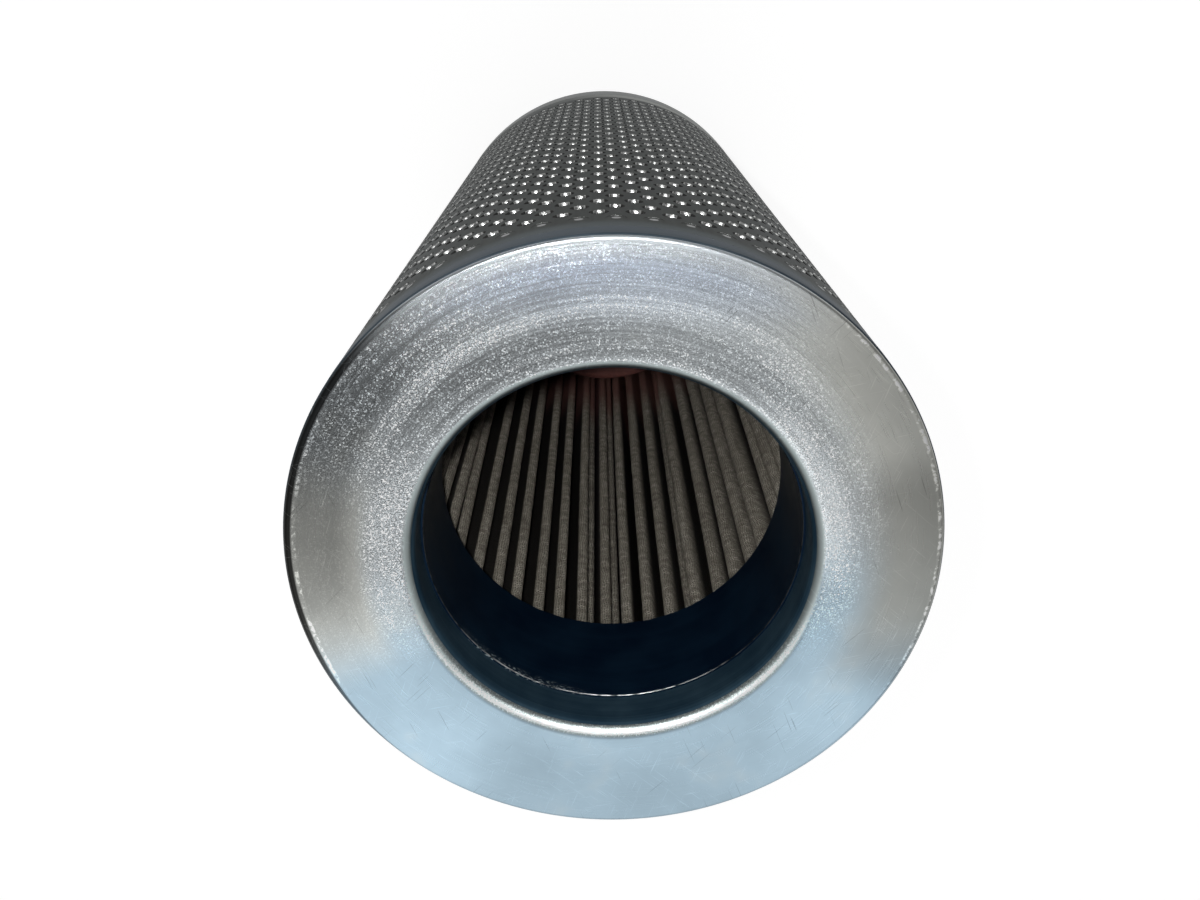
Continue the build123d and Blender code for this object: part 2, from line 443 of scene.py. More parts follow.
    def edge(self, graph: Graph, radius: bpy.types.NodeSocket, y: bpy.types.NodeSocket) -> bpy.types.NodeSocket:
        """Factor of the bend into the rim: painted shade on the bend, with a thin nicked painted highlight line before
        it, but for the top.
        """
        outer = self.sizes.outer_radius
        side = graph.ranged(y, 0.84 * outer, 0.60 * outer)
        left = graph.ranged(graph.towards(292.0), 0.30, 0.85)
        start = graph.math("MULTIPLY_ADD", left, -0.017 * outer, 0.989 * outer)
        past = graph.math("SUBTRACT", radius, start)
        depth = graph.math("MULTIPLY_ADD", left, 0.45, 0.45)
        bend = graph.math("MULTIPLY", graph.ranged(past, 0.0, 0.006 * outer), graph.math("MULTIPLY", side, depth))
        line = graph.math(
            "MULTIPLY", graph.ranged(past, -0.014 * outer, -0.008 * outer), graph.ranged(past, 0.002 * outer, -0.003 * outer)
        )
        nicks = graph.noise(graph.place, 1 / (1.3 * MM), 2.0, 0.6)
        line = graph.math("MULTIPLY", line, graph.ranged(nicks, 0.46, 0.66, 0.1, 1.7))
        line = graph.math("MULTIPLY", line, graph.math("MULTIPLY", side, graph.ranged(y, -0.55 * outer, -0.25 * outer)))
        return graph.math("SUBTRACT", graph.math("ADD", line, 1.0), bend)

    def shaded(self, graph: Graph, radius: bpy.types.NodeSocket) -> bpy.types.NodeSocket:
        """Factor of painted shade on the outer half of the face, at the upper left and at the right, of painted light
        in two lighter patches, and of a little painted shade below.
        """
        outer = self.sizes.outer_radius
        factor: object = 1.0
        for degrees, width, inner, depth in self.patches:
            side = graph.ranged(graph.towards(degrees), 1.0 - width, 0.96)
            patch = graph.math("MULTIPLY", side, graph.ranged(radius, inner * outer, (inner + 0.16) * outer, 0.0, depth))
            factor = graph.math("MULTIPLY", factor, graph.math("SUBTRACT", 1.0, patch))
        below = graph.math("MULTIPLY", graph.ranged(graph.towards(178.0), 0.76, 0.96), 0.14)
        below = graph.math("MULTIPLY", below, graph.ranged(radius, 0.68 * outer, 0.80 * outer))
        return graph.math("MULTIPLY", factor, graph.math("SUBTRACT", 1.0, below))

    def lip_tone(
        self, graph: Graph, radius: bpy.types.NodeSocket, off_lip: bpy.types.NodeSocket
    ) -> bpy.types.NodeSocket:
        """Factor of the lip's band: painted shade at its upper left and on its inner curve, a painted highlight line
        with a darker dent at the bottom, and painted light on the sparkle beside it at the right.
        """
        upper_left_painted_shade = graph.math("MULTIPLY", graph.ranged(graph.towards(294.0), 0.70, 0.97), -0.15)
        upper_left_painted_shade = graph.math("MULTIPLY", upper_left_painted_shade, graph.math("SUBTRACT", 1.0, off_lip))
        outer = self.sizes.outer_radius
        ring = graph.math("MULTIPLY", graph.ranged(radius, 0.74 * outer, 0.68 * outer), off_lip)
        ring = graph.math("MULTIPLY", ring, graph.ranged(graph.towards(66.0), 0.80, 0.97, 0.0, 0.30))
        bottom = graph.ranged(graph.towards(180.0), 0.0, 0.85)
        line = graph.math(
            "MULTIPLY", graph.ranged(radius, 0.624 * outer, 0.632 * outer), graph.ranged(radius, 0.648 * outer, 0.640 * outer)
        )
        dent = graph.math(
            "MULTIPLY", graph.ranged(radius, 0.640 * outer, 0.647 * outer), graph.ranged(radius, 0.658 * outer, 0.650 * outer)
        )
        step = graph.math("MULTIPLY", bottom, graph.math("MULTIPLY_ADD", dent, -0.22, line))
        inside = graph.ranged(radius, 0.612 * outer, 0.642 * outer, 0.12, 1.0)
        tone = graph.math("ADD", graph.math("SUBTRACT", 1.0, upper_left_painted_shade), graph.math("ADD", ring, step))
        return graph.math("MULTIPLY", tone, inside)

    def leaning(self, graph: Graph, x: bpy.types.NodeSocket, y: bpy.types.NodeSocket) -> bpy.types.NodeSocket:
        """Height across the face, counted along a line that leans to the left."""
        return graph.math("MULTIPLY_ADD", x, -0.12, y)

    def base_colour(
        self, graph: Graph, y: bpy.types.NodeSocket, clouds: bpy.types.NodeSocket, upper: bpy.types.NodeSocket
    ) -> bpy.types.NodeSocket:
        """Tint of the plating: bluish below, neutral above, with warmer clouds."""
        colour = graph.mixed(upper, self.cool, self.plain)
        return graph.mixed(graph.ranged(clouds, 0.56, 0.74, 0.0, 0.22), colour, self.warm)

    def radial_tone(
        self, graph: Graph, share: bpy.types.NodeSocket, sparkling: bpy.types.NodeSocket
    ) -> bpy.types.NodeSocket:
        """Brightness of the turning marks at each radius, as strong as the surface sparkles.

        Args:
            graph: The material's graph.
            share: Distance from the axis as a share of the outer radius.
            sparkling: How strongly the surface sparkles, from 0 to 1.

        Returns:
            A factor for the colour.
        """
        node = graph.node("ShaderNodeValToRGB")
        graph.feed(node.inputs[0], share)
        stops = node.color_ramp.elements
        while len(stops) < len(self.tones):
            stops.new(0.5)
        for stop, (place, tone) in zip(stops, self.tones):
            stop.position = place
            stop.color = (tone, tone, tone, 1.0)
        level = graph.math("MULTIPLY", node.outputs[0], 1.0)
        extra = graph.math("MULTIPLY", graph.math("SUBTRACT", level, 1.0), sparkling)
        return graph.math("ADD", extra, 1.0)

    def speckle(
        self, graph: Graph, specks: bpy.types.NodeSocket, cells: bpy.types.NodeSocket,
        arcs: bpy.types.NodeSocket, sparkling: bpy.types.NodeSocket,
    ) -> bpy.types.NodeSocket:
        """Factor of the fine sparkle painted into the colour: a dark ground with bright specks as painted glints,
        stronger along some arcs.
        """
        ground = graph.ranged(specks, 0.36, 0.62, 0.26, 1.20)
        grain = graph.math("ADD", ground, graph.ranged(cells, 0.78, 0.93, 0.0, 1.9))
        strength = graph.math("MULTIPLY", sparkling, graph.ranged(arcs, 0.35, 0.60, 0.55, 1.0))
        tone = graph.math("MULTIPLY_ADD", graph.math("SUBTRACT", grain, 1.0), strength, 1.0)
        return graph.math("MULTIPLY", tone, graph.math(
            "MULTIPLY_ADD", graph.math("SUBTRACT", graph.ranged(arcs, 0.3, 0.7, 0.86, 1.12), 1.0), sparkling, 1.0
        ))

    def tangent(self, graph: Graph) -> bpy.types.NodeSocket:
        """Direction of the brushing, round the axis."""
        node = graph.node("ShaderNodeTangent", direction_type="RADIAL", axis="Z")
        return node.outputs[0]

    def hairlines(self, graph: Graph) -> bpy.types.NodeSocket:
        """Thin hairlines in three directions, as a share from 0 to 1."""
        total: object = 0.0
        for degrees, threshold in ((20.0, 0.785), (77.0, 0.80), (131.0, 0.79)):
            place = graph.tilted(1 / (0.14 * MM), 1 / (9.0 * MM), 1.0, degrees)
            line = graph.ranged(graph.noise(place, 1.0, 0.0), threshold, threshold + 0.03)
            total = graph.math("MAXIMUM", total, line)
        return total

    def scratches(self, graph: Graph) -> bpy.types.NodeSocket:
        """Factor of a few longer dark scratches."""
        factor: object = 1.0
        for degrees, threshold in ((44.0, 0.80), (158.0, 0.805)):
            place = graph.tilted(1 / (0.30 * MM), 1 / (16.0 * MM), 1.0, degrees)
            line = graph.ranged(graph.noise(place, 1.0, 0.0), threshold, threshold + 0.04, 0.0, 0.32)
            factor = graph.math("MULTIPLY", factor, graph.math("SUBTRACT", 1.0, line))
        return factor


@dataclass(frozen=True)
class TubeSteel:
    """Dull dark steel of the perforated sheet, with faint rolling streaks and a paler plain foot that is painted
    lighter on the +X side.
    """

    foot_top: float
    head_bottom: float
    dark: Colour = (0.025, 0.026, 0.023)
    light: Colour = (0.051, 0.053, 0.048)
    pale: Colour = (0.34, 0.34, 0.32)
    head: Colour = (0.072, 0.080, 0.083)
    shine: float = 0.12

    def build(self) -> bpy.types.Material:
        """Build the material."""
        graph = Graph("tube_steel")
        streaks = graph.noise(graph.scaled(graph.place, 900.0, 900.0, 60.0), 1.0, 2.0)
        clouds = graph.noise(graph.place, 45.0, 3.0, 0.6)
        share = graph.math("MULTIPLY_ADD", streaks, 0.45, graph.math("MULTIPLY", clouds, 0.6))
        colour = graph.mixed(graph.ranged(share, 0.3, 0.75), self.dark, self.light)
        _, _, z = graph.split(graph.place)
        foot = graph.ranged(z, self.foot_top, self.foot_top - 5 * MM)
        # Painted light: the foot's paler band fades out on the -X side.
        foot = graph.math("MULTIPLY", foot, graph.ranged(graph.towards(90.0), -0.35, 0.20, 0.12, 1.0))
        colour = graph.mixed(foot, colour, self.pale)
        colour = graph.mixed(graph.ranged(z, self.head_bottom - 2 * MM, self.head_bottom + 3 * MM), colour, self.head)
        roughness = graph.math("MULTIPLY_ADD", clouds, 0.16, 0.38)
        normal = graph.bumped(streaks, 0.01 * MM, 0.5)
        graph.shader.inputs["Specular IOR Level"].default_value = self.shine
        return graph.finish(
            Base_Color=colour, Metallic=0.6, Roughness=roughness, Normal=normal,
            Specular_Tint=(0.30, 0.33, 0.34),
        )


@dataclass(frozen=True)
class ShearedSteel:
    """Bare bright steel with duller tears, as the punch leaves it in each hole; on an edge, a painted highlight towards
    one side that fades to near black round the rest.
    """

    name: str = "sheared_steel"
    torn: Colour = (0.16, 0.16, 0.155)
    tear: float = 0.5 * MM
    brightest: float | None = None
    colour: Colour = (0.85, 0.86, 0.85)

    def build(self) -> bpy.types.Material:
        """Build the material."""
        graph = Graph(self.name)
        tears = graph.noise(graph.place, 1 / self.tear, 2.0, 0.6)
        colour = graph.mixed(graph.ranged(tears, 0.30, 0.62), self.torn, self.colour)
        # Painted highlight: bright towards one side only, near black round the rest.
        if self.brightest is not None:
            worn = graph.ranged(graph.towards(self.brightest), 0.55, 0.97, 0.06, 1.0)
            colour = graph.mixed(worn, (0.01, 0.012, 0.014), colour)
        roughness = graph.math("MULTIPLY_ADD", tears, 0.16, 0.24)
        return graph.finish(Base_Color=colour, Metallic=1.0, Roughness=roughness)


@dataclass(frozen=True)
class SleeveSteel:
    """Smooth blue-black steel of the sealing sleeve, with faint turning lines; darker copies of it stand in as painted
    shade on the caps' necks and rims.
    """

    name: str
    dark: Colour = (0.006, 0.013, 0.020)
    light: Colour = (0.020, 0.036, 0.046)
    line_width: float = 0.35 * MM
    line_depth: float = 0.004 * MM
    roughness: float = 0.26
    metal: float = 0.55
    shine: float = 0.3
    scuffed_at: float | None = None
    scuff: Colour = (0.20, 0.24, 0.25)

    def build(self) -> bpy.types.Material:
        """Build the material."""
        graph = Graph(self.name)
        lines = graph.noise(graph.turned_place(0.4 * self.line_width, 1.0), 1 / self.line_width, 1.0)
        clouds = graph.noise(graph.place, 70.0, 3.0, 0.6)
        share = graph.math("MULTIPLY_ADD", lines, 0.4, graph.math("MULTIPLY", clouds, 0.6))
        colour = graph.mixed(graph.ranged(share, 0.3, 0.75), self.dark, self.light)
        if self.scuffed_at is not None:
            colour = graph.mixed(self.scuffs(graph), colour, self.scuff)
        roughness = graph.math("MULTIPLY_ADD", clouds, 0.14, self.roughness)
        normal = graph.bumped(lines, self.line_depth, 1.0)
        graph.shader.inputs["Specular IOR Level"].default_value = self.shine
        return graph.finish(
            Base_Color=colour, Metallic=self.metal, Roughness=roughness, Normal=normal,
            Specular_Tint=(0.5, 0.55, 0.6),
        )

    def scuffs(self, graph: Graph) -> bpy.types.NodeSocket:
        """Share of small scuffs on the margin behind the sleeve's front edge, at the lower left."""
        _, _, z = graph.split(graph.place)
        side = graph.ranged(graph.towards(212.0), 0.90, 0.985)
        margin = graph.ranged(z, self.scuffed_at - 3.0 * MM, self.scuffed_at - 0.4 * MM)
        marks = graph.noise(graph.turned_place(24.0 * MM, 1.0), 1 / (0.45 * MM), 1.0, 0.6)
        return graph.math("MULTIPLY", graph.math("MULTIPLY", side, margin), graph.ranged(marks, 0.54, 0.68))


@dataclass(frozen=True)
class WireCloth:
    """Woven wire cloth, brown-grey, its weave laid out on the sheet's own length and height, with painted shade between
    the folds and painted glints on the wires.
    """

    name: str
    cup_top: float
    pitch: float = 0.44 * MM
    painted_shade_colour: Colour = (0.012, 0.011, 0.010)
    gap: Colour = (0.010, 0.009, 0.007)
    wire: Colour = (0.31, 0.285, 0.235)
    painted_glint_colour: Colour = (0.85, 0.80, 0.70)

    def build(self) -> bpy.types.Material:
        """Build the material."""
        graph = Graph(self.name)
        sheet = graph.node("ShaderNodeUVMap", uv_map="sheet").outputs[0]
        drift = graph.noise(sheet, 1 / (6.0 * MM), 2.0)
        u, v, _ = graph.split(sheet)
        along = graph.math("MULTIPLY_ADD", drift, 3.2, graph.math("DIVIDE", u, self.pitch))
        up = graph.math("MULTIPLY_ADD", drift, -2.4, graph.math("DIVIDE", v, self.pitch))
        warp = self.wires(graph, along, up, 0.0)
        weft = self.wires(graph, up, along, 0.5)
        height = graph.math("MAXIMUM", warp, weft)
        patches = graph.noise(sheet, 1 / (2.2 * MM), 3.0, 0.65)
        colour = graph.mixed(graph.ranged(height, 0.25, 0.85), self.gap, self.wire)
        # Painted glints: a pale colour on the wires' tops, in patches.
        shine = graph.math("MULTIPLY", graph.ranged(height, 0.72, 0.98), graph.ranged(patches, 0.48, 0.66))
        colour = graph.mixed(shine, colour, self.painted_glint_colour)
        colour = graph.mixed(graph.ranged(patches, 0.52, 0.30, 0.0, 0.65), colour, (0.055, 0.045, 0.034))
        # Painted shade: the lit wire colour only on the open crests, nearly black down between the folds.
        exposed = graph.node("ShaderNodeAttribute", attribute_name="exposed").outputs["Fac"]
        colour = graph.mixed(graph.ranged(exposed, 0.22, 0.80), self.painted_shade_colour, colour)
        _, _, z = graph.split(graph.place)
        # Painted shade: the crests are darkened a little towards the open front end.
        colour = graph.mixed(graph.ranged(z, 120 * MM, 280 * MM, 0.0, 0.24), colour, self.painted_shade_colour)
        near_cup = graph.ranged(z, self.cup_top + 46 * MM, self.cup_top + 8 * MM, 0.0, 0.92)
        colour = graph.mixed(near_cup, colour, (0.125, 0.058, 0.049))
        normal = graph.bumped(height, 0.13 * MM, 1.0)
        graph.shader.inputs["Specular IOR Level"].default_value = 0.3
        return graph.finish(Base_Color=colour, Metallic=0.25, Roughness=0.5, Normal=normal)

    def wires(
        self, graph: Graph, across: bpy.types.NodeSocket, along: bpy.types.NodeSocket, shift: float
    ) -> bpy.types.NodeSocket:
        """Height of one set of wires, which goes over and under the other set.

        Args:
            graph: The material's graph.
            across: Place across the wires, in wires.
            along: Place along the wires, in crossings.
            shift: Share of a crossing by which the set is moved along.

        Returns:
            The height's socket, from 0 to 1.
        """
        place = graph.math("FRACT", across)
        dome = graph.math("SINE", graph.math("MULTIPLY", place, math.pi))
        turn = graph.math("ADD", graph.math("FLOOR", across), graph.math("ADD", along, shift))
        wave = graph.math("MULTIPLY_ADD", graph.math("SINE", graph.math("MULTIPLY", turn, math.pi)), 0.35, 0.65)
        return graph.math("MULTIPLY", dome, wave)


@dataclass(frozen=True)
class DullCoat:
    """Matt coating or filler with a soft mottle: primer, cured adhesive or fibre; also the nearly black painted shade
    on the holes' side walls.
    """

    name: str
    dark: Colour
    light: Colour
    mottle: float = 9.0 * MM
    roughness: float = 0.6
    depth: float = 0.05 * MM

    def build(self) -> bpy.types.Material:
        """Build the material."""
        graph = Graph(self.name)
        patches = graph.noise(graph.place, 1 / self.mottle, 4.0, 0.6)
        fine = graph.noise(graph.place, 12 / self.mottle, 3.0, 0.6)
        share = graph.math("MULTIPLY_ADD", fine, 0.35, graph.math("MULTIPLY", patches, 0.65))
        colour = graph.mixed(graph.ranged(share, 0.32, 0.66), self.dark, self.light)
        normal = graph.bumped(fine, self.depth, 0.6)
        roughness = graph.math("MULTIPLY_ADD", patches, 0.15, self.roughness)
        return graph.finish(Base_Color=colour, Roughness=roughness, Normal=normal)


@dataclass(frozen=True)
class Finishes:
    """Every finish of the element, built once."""

    zinc: bpy.types.Material
    tube: bpy.types.Material
    sheared: bpy.types.Material
    sleeve: bpy.types.Material
    neck: bpy.types.Material
    wire: bpy.types.Material
    fibre: bpy.types.Material
    primer: bpy.types.Material
    adhesive: bpy.types.Material
    shade: bpy.types.Material
    clip: bpy.types.Material
    worn: bpy.types.Material
    front_rim: bpy.types.Material
    rear_rim: bpy.types.Material

    @classmethod
    def build(cls, sizes: ElementSizes) -> "Finishes":
        """Build the finishes.

        Args:
            sizes: The element's sizes, which place the zones of the zinc.

        Returns:
            The finishes.
        """
        return cls(
            zinc=ZincPlate(sizes).build(),
            tube=TubeSteel(sizes.tube_bottom + 14 * MM, sizes.tube_top - 5 * MM).build(),
            sheared=ShearedSteel().build(),
            sleeve=SleeveSteel(
                "sleeve_steel", dark=(0.001, 0.004, 0.011), light=(0.004, 0.012, 0.024), scuffed_at=sizes.sleeve_top
            ).build(),
            # Painted shade: the zinc cap's neck and the inner part of its lip get dark blue-black steel.
            neck=SleeveSteel(
                "neck_painted_shade", dark=(0.007, 0.018, 0.030), light=(0.022, 0.042, 0.058), line_depth=0.02 * MM
            ).build(),
            wire=WireCloth("wire_cloth", sizes.cup_top).build(),
            fibre=DullCoat("filter_fibre", (0.62, 0.60, 0.55), (0.80, 0.79, 0.75), 3.0 * MM, 0.8).build(),
            primer=DullCoat("red_primer", (0.085, 0.032, 0.028), (0.135, 0.055, 0.046), 14.0 * MM, 0.55).build(),
            adhesive=DullCoat("cured_adhesive", (0.11, 0.035, 0.026), (0.19, 0.07, 0.05), 5.0 * MM, 0.4).build(),
            # Painted shade: nearly black colour for the holes' side walls.
            shade=DullCoat("hole_painted_shade", (0.004, 0.004, 0.004), (0.010, 0.010, 0.009), 2.0 * MM, 0.7).build(),
            clip=SleeveSteel("clip_steel", dark=(0.16, 0.165, 0.17), light=(0.28, 0.29, 0.29)).build(),
            # Painted highlight for the sleeve's chamfers and the plugs' middles, brightest towards 188 degrees.
            worn=ShearedSteel(name="worn_edge", torn=(0.02, 0.03, 0.035), tear=2.4 * MM, brightest=188.0).build(),
            # Painted shade: the caps' outer rims get darker steel, the front one darker than the rear.
            front_rim=SleeveSteel(
                "front_rim_painted_shade", dark=(0.016, 0.023, 0.030), light=(0.036, 0.048, 0.058), roughness=0.36,
                metal=0.35, shine=0.05,
            ).build(),
            rear_rim=SleeveSteel(
                "rear_rim_painted_shade", dark=(0.13, 0.13, 0.12), light=(0.22, 0.22, 0.20), roughness=0.36,
                metal=0.4, shine=0.10,
            ).build(),
        )


@dataclass
class MeshDraft:
    """Corners and faces of one piece while it is being made."""

    corners: list[Place]
    faces: list[tuple[int, ...]]
    finish_of: list[int]

    @classmethod
    def empty(cls) -> "MeshDraft":
        """Start with nothing."""
        return cls([], [], [])

    def add(self, corners: list[Place], faces: list[tuple[int, ...]], finish: int = 0) -> None:
        """Add corners, and faces that count from the first of them, in one finish."""
        start = len(self.corners)
        self.corners.extend(corners)
        self.faces.extend(tuple(start + index for index in face) for face in faces)
        self.finish_of.extend([finish] * len(faces))

    def lathe(self, outline: Ring, turns: int, finish: int = 0, closed: bool = True) -> None:
        """Turn an outline of (radius, height) points about the axis.

        Args:
            outline: Points with the solid on their left as they go.
            turns: Number of steps round the axis.
            finish: The finish of its faces.
            closed: Whether the last point joins the first.
        """
        corners = []
        for radius, height in outline:
            for step in range(turns):
                x, y = polar(radius, 2 * math.pi * step / turns)
                corners.append((x, y, height))
        faces = []
        spans = len(outline) if closed else len(outline) - 1
        for span in range(spans):
            here = span * turns
            there = (span + 1) % len(outline) * turns
            for step in range(turns):
                nearby = (step + 1) % turns
                faces.append((here + step, here + nearby, there + nearby, there + step))
        self.add(corners, faces, finish)

    def disc(self, radius: float, height: float, turns: int, faces_up: bool, finish: int = 0) -> None:
        """Close a round hole with a flat disc of two rings."""
        corners: list[Place] = [(0.0, 0.0, height)]
        for share in (0.5, 1.0):
            for step in range(turns):
                x, y = polar(radius * share, 2 * math.pi * step / turns)
                corners.append((x, y, height))
        faces: list[tuple[int, ...]] = []
        for step in range(turns):
            nearby = (step + 1) % turns
            faces.append((0, 1 + nearby, 1 + step))
            faces.append((1 + step, 1 + nearby, 1 + turns + nearby, 1 + turns + step))
        if not faces_up:
            faces = [face[::-1] for face in faces]
        self.add(corners, faces, finish)

    def piece(
        self, name: str, slot: Slot, finishes: list[bpy.types.Material], replaced: tuple[str, ...],
        crease: float = 35.0, weld: bool = False,
    ) -> bpy.types.Object:
        """Make the object.

        Args:
            name: Name of the piece.
            slot: The record's material slot, not used.
            finishes: Materials in the order of the faces' numbers.
            replaced: CAD nodes that it stands for.
            crease: Smallest angle in degrees that shades as an edge.
            weld: Whether corners in the same place are joined.

        Returns:
            The object, riding on the element's body.
        """
        mesh = bpy.data.meshes.new(name)
        mesh.from_pydata(self.corners, [], self.faces)
        for finish in finishes:
            mesh.materials.append(finish)
        mesh.polygons.foreach_set("material_index", self.finish_of)
        if weld:
            self.join_corners(mesh)
        mesh.shade_smooth()
        mesh.set_sharp_from_angle(angle=math.radians(crease))
        return mounted(bpy.data.objects.new(name, mesh), replaced)

    def join_corners(self, mesh: bpy.types.Mesh) -> None:
        """Join a mesh's corners that are in the same place."""
        work = bmesh.new()
        work.from_mesh(mesh)
        bmesh.ops.remove_doubles(work, verts=work.verts, dist=0.001 * MM)
        work.to_mesh(mesh)
        work.free()


def mounted(piece: bpy.types.Object, replaced: tuple[str, ...]) -> bpy.types.Object:
    """Put a piece on the element's body and the CAD nodes that it stands for."""
    bpy.context.scene.collection.objects.link(piece)
    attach(piece, BODY)
    if replaced:
        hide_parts(*replaced)
    return piece


@dataclass(frozen=True)
class StampedCap:
    """Zinc-plated end cap: flat face, bent rim, skirt inside the tube, rounded lip and drawn neck; the neck and the
    outer rim get darker steel colours as painted shade.
    """

    sizes: ElementSizes
    name: str
    face: float
    inward: int
    rim: float
    skirt_end: float
    sheet: float = 1.5 * MM
    skirt_slip: float = 1.25 * MM
    neck_step: float = 0.6 * MM
    lip_bend: float = 4.0 * MM
    rim_bend: float = 1.2 * MM
    rim_crown: float = 0.05 * MM
    rim_end: float = 0.1 * MM
    lip_steps: int = 10
    painted_shade_lip_steps: int = 4
    rim_steps: int = 8
    painted_shade_rim_steps: int = 2
    turns: int = 288

    def build(self, finishes: Finishes) -> bpy.types.Object:
        """Build and dress the cap."""
        draft = MeshDraft.empty()
        outline = self.outline()
        rim_start = self.lip_steps + self.rim_steps - self.painted_shade_rim_steps
        lip_start = 1 + self.painted_shade_lip_steps
        self.turn(draft, outline[:lip_start + 1], 1)
        self.turn(draft, outline[lip_start:rim_start + 1], 0)
        self.turn(draft, outline[rim_start:] + outline[:1], 2)
        # The neck and the rim's outer side take the painted-shade finishes.
        rim = finishes.front_rim if self.inward < 0 else finishes.rear_rim
        return draft.piece(
            self.name + "_visual", Slot.ZINC, [finishes.zinc, finishes.neck, rim], (self.name,), crease=30.0,
            weld=True,
        )

    def turn(self, draft: MeshDraft, outline: Ring, finish: int) -> None:
        """Turn a stretch of the outline, the right way round for this end."""
        placed = [(radius, self.face + self.inward * depth) for radius, depth in outline]
        draft.lathe(placed if self.inward < 0 else placed[::-1], self.turns, finish, closed=False)

    def outline(self) -> Ring:
        """Section of the sheet as (radius, depth below the face), from the neck's end round."""
        sizes = self.sizes
        neck = sizes.bore_radius + self.neck_step
        outer = sizes.outer_radius
        skirt = outer - self.skirt_slip
        skirt_depth = abs(self.skirt_end - self.face)
        inner_lip = self.lip_bend - self.sheet
        inner_rim = max(self.rim_bend - self.sheet, 0.2 * MM)
        points = [(neck, sizes.neck_depth)]
        points += arc((neck + self.lip_bend, self.lip_bend), self.lip_bend, 180, 270, self.lip_steps)
        points += arc((outer - self.rim_bend, self.rim_bend), self.rim_bend, 270, 360, self.rim_steps)
        points += [(outer + self.rim_crown, self.rim * 0.5), (outer, self.rim - self.rim_end)]
        points += [(outer - self.rim_end, self.rim), (skirt, self.rim), (skirt, skirt_depth)]
        points += [(skirt - self.sheet, skirt_depth), (skirt - self.sheet, self.rim - self.sheet)]
        points += [(outer - self.sheet, self.rim - self.sheet)]
        points += arc((outer - self.sheet - inner_rim, self.sheet + inner_rim), inner_rim, 0, -90, 3)
        points += arc((neck + self.sheet + inner_lip, self.sheet + inner_lip), inner_lip, 270, 180, 5)
        points += [(neck + self.sheet, sizes.neck_depth)]
        return points


@dataclass(frozen=True)
class SealingSleeve:
    """Smooth sleeve behind the front cap's neck, with a small chamfer at each end that carries a painted highlight on
    the -Y side.
    """

    sizes: ElementSizes
    chamfer: float = 0.16 * MM
    turns: int = 256

    def build(self, finishes: Finishes) -> bpy.types.Object:
        """Build and dress the sleeve."""
        sizes = self.sizes
        inner, outer = sizes.bore_radius, sizes.sleeve_outer_radius
        low, high = sizes.sleeve_bottom, sizes.sleeve_top
        draft = MeshDraft.empty()
        draft.lathe([(inner, high - self.chamfer), (inner, low + self.chamfer)], self.turns, 0, closed=False)
        draft.lathe([(inner, low + self.chamfer), (inner + self.chamfer, low)], self.turns, 1, closed=False)
        draft.lathe([(inner + self.chamfer, low), (outer, low), (outer, high)], self.turns, 0, closed=False)
        draft.lathe([(outer, high), (inner + self.chamfer, high)], self.turns, 0, closed=False)
        draft.lathe([(inner + self.chamfer, high), (inner, high - self.chamfer)], self.turns, 1, closed=False)
        return draft.piece(
            "front_sleeve_visual", Slot.DARK_STEEL, [finishes.sleeve, finishes.worn], ("front_sleeve",),
            crease=20.0, weld=True,
        )


@dataclass(frozen=True)
class BlindCup:
    """Drawn cup that closes the far end, open to the rear."""

    sizes: ElementSizes
    bend: float = 3.0 * MM
    dish: float = 0.4 * MM
    turns: int = 192

    def build(self, finishes: Finishes) -> bpy.types.Object:
        """Build and dress the cup."""
        sizes = self.sizes
        inner, outer = sizes.bore_radius, sizes.sleeve_outer_radius
        sheet = outer - inner
        low, top = sizes.neck_depth, sizes.cup_top
        inner_bend = self.bend - sheet
        floor = top - sheet
        outline = [(inner, low), (outer, low)]
        outline += arc((outer - self.bend, top - self.bend), self.bend, 0, 90, 8)
        outline += [(outer * 0.82, top), (outer * 0.78, top - self.dish)]
        draft = MeshDraft.empty()
        draft.lathe(outline, self.turns, 0, closed=False)
        draft.disc(outer * 0.78, top - self.dish, self.turns, True)
        inside = [(inner * 0.78, floor - self.dish), (inner * 0.82, floor)]
        inside += arc((inner - inner_bend, floor - inner_bend), inner_bend, 90, 0, 5) + [(inner, low)]
        draft.lathe(inside, self.turns, 0, closed=False)
        draft.disc(inner * 0.78, floor - self.dish, self.turns, False)
        return draft.piece(
            "rear_cup_visual", Slot.PRIMER, [finishes.primer], ("rear_cup",), crease=40.0, weld=True
        )


@dataclass(frozen=True)
class PottingRing:
    """Ring of cured adhesive round the folds' ends, its face wavy where it crept up the folds."""

    sizes: ElementSizes
    name: str
    base: float
    face: float
    inner_radius: float
    outer_radius: float
    creep: float = 0.5 * MM
    turns: int = 360

    def build(self, finishes: Finishes) -> bpy.types.Object:
        """Build and dress the ring."""
        draft = MeshDraft.empty()
        rows = 5
        into = 1 if self.face > self.base else -1
        rng = Random(11)
        wave = [rng.uniform(-1, 1) for _ in range(self.turns)]
        corners: list[Place] = []
        for row in range(rows + 1):
            share = row / rows
            radius = self.inner_radius + (self.outer_radius - self.inner_radius) * share
            swell = math.sin(math.pi * share)
            for step in range(self.turns):
                x, y = polar(radius, 2 * math.pi * step / self.turns)
                lift = self.creep * swell * (0.4 + 0.25 * wave[step])
                corners.append((x, y, self.face - into * lift))
        for radius in (self.outer_radius, self.inner_radius):
            for step in range(self.turns):
                x, y = polar(radius, 2 * math.pi * step / self.turns)
                corners.append((x, y, self.base))
        faces = []
        rings = rows + 3
        for ring in range(rings):
            here, there = ring * self.turns, (ring + 1) % rings * self.turns
            for step in range(self.turns):
                nearby = (step + 1) % self.turns
                face = (here + step, there + step, there + nearby, here + nearby)
                faces.append(face if into > 0 else face[::-1])
        draft.add(corners, faces)
        return draft.piece(self.name + "_visual", Slot.ADHESIVE, [finishes.adhesive], (self.name,))


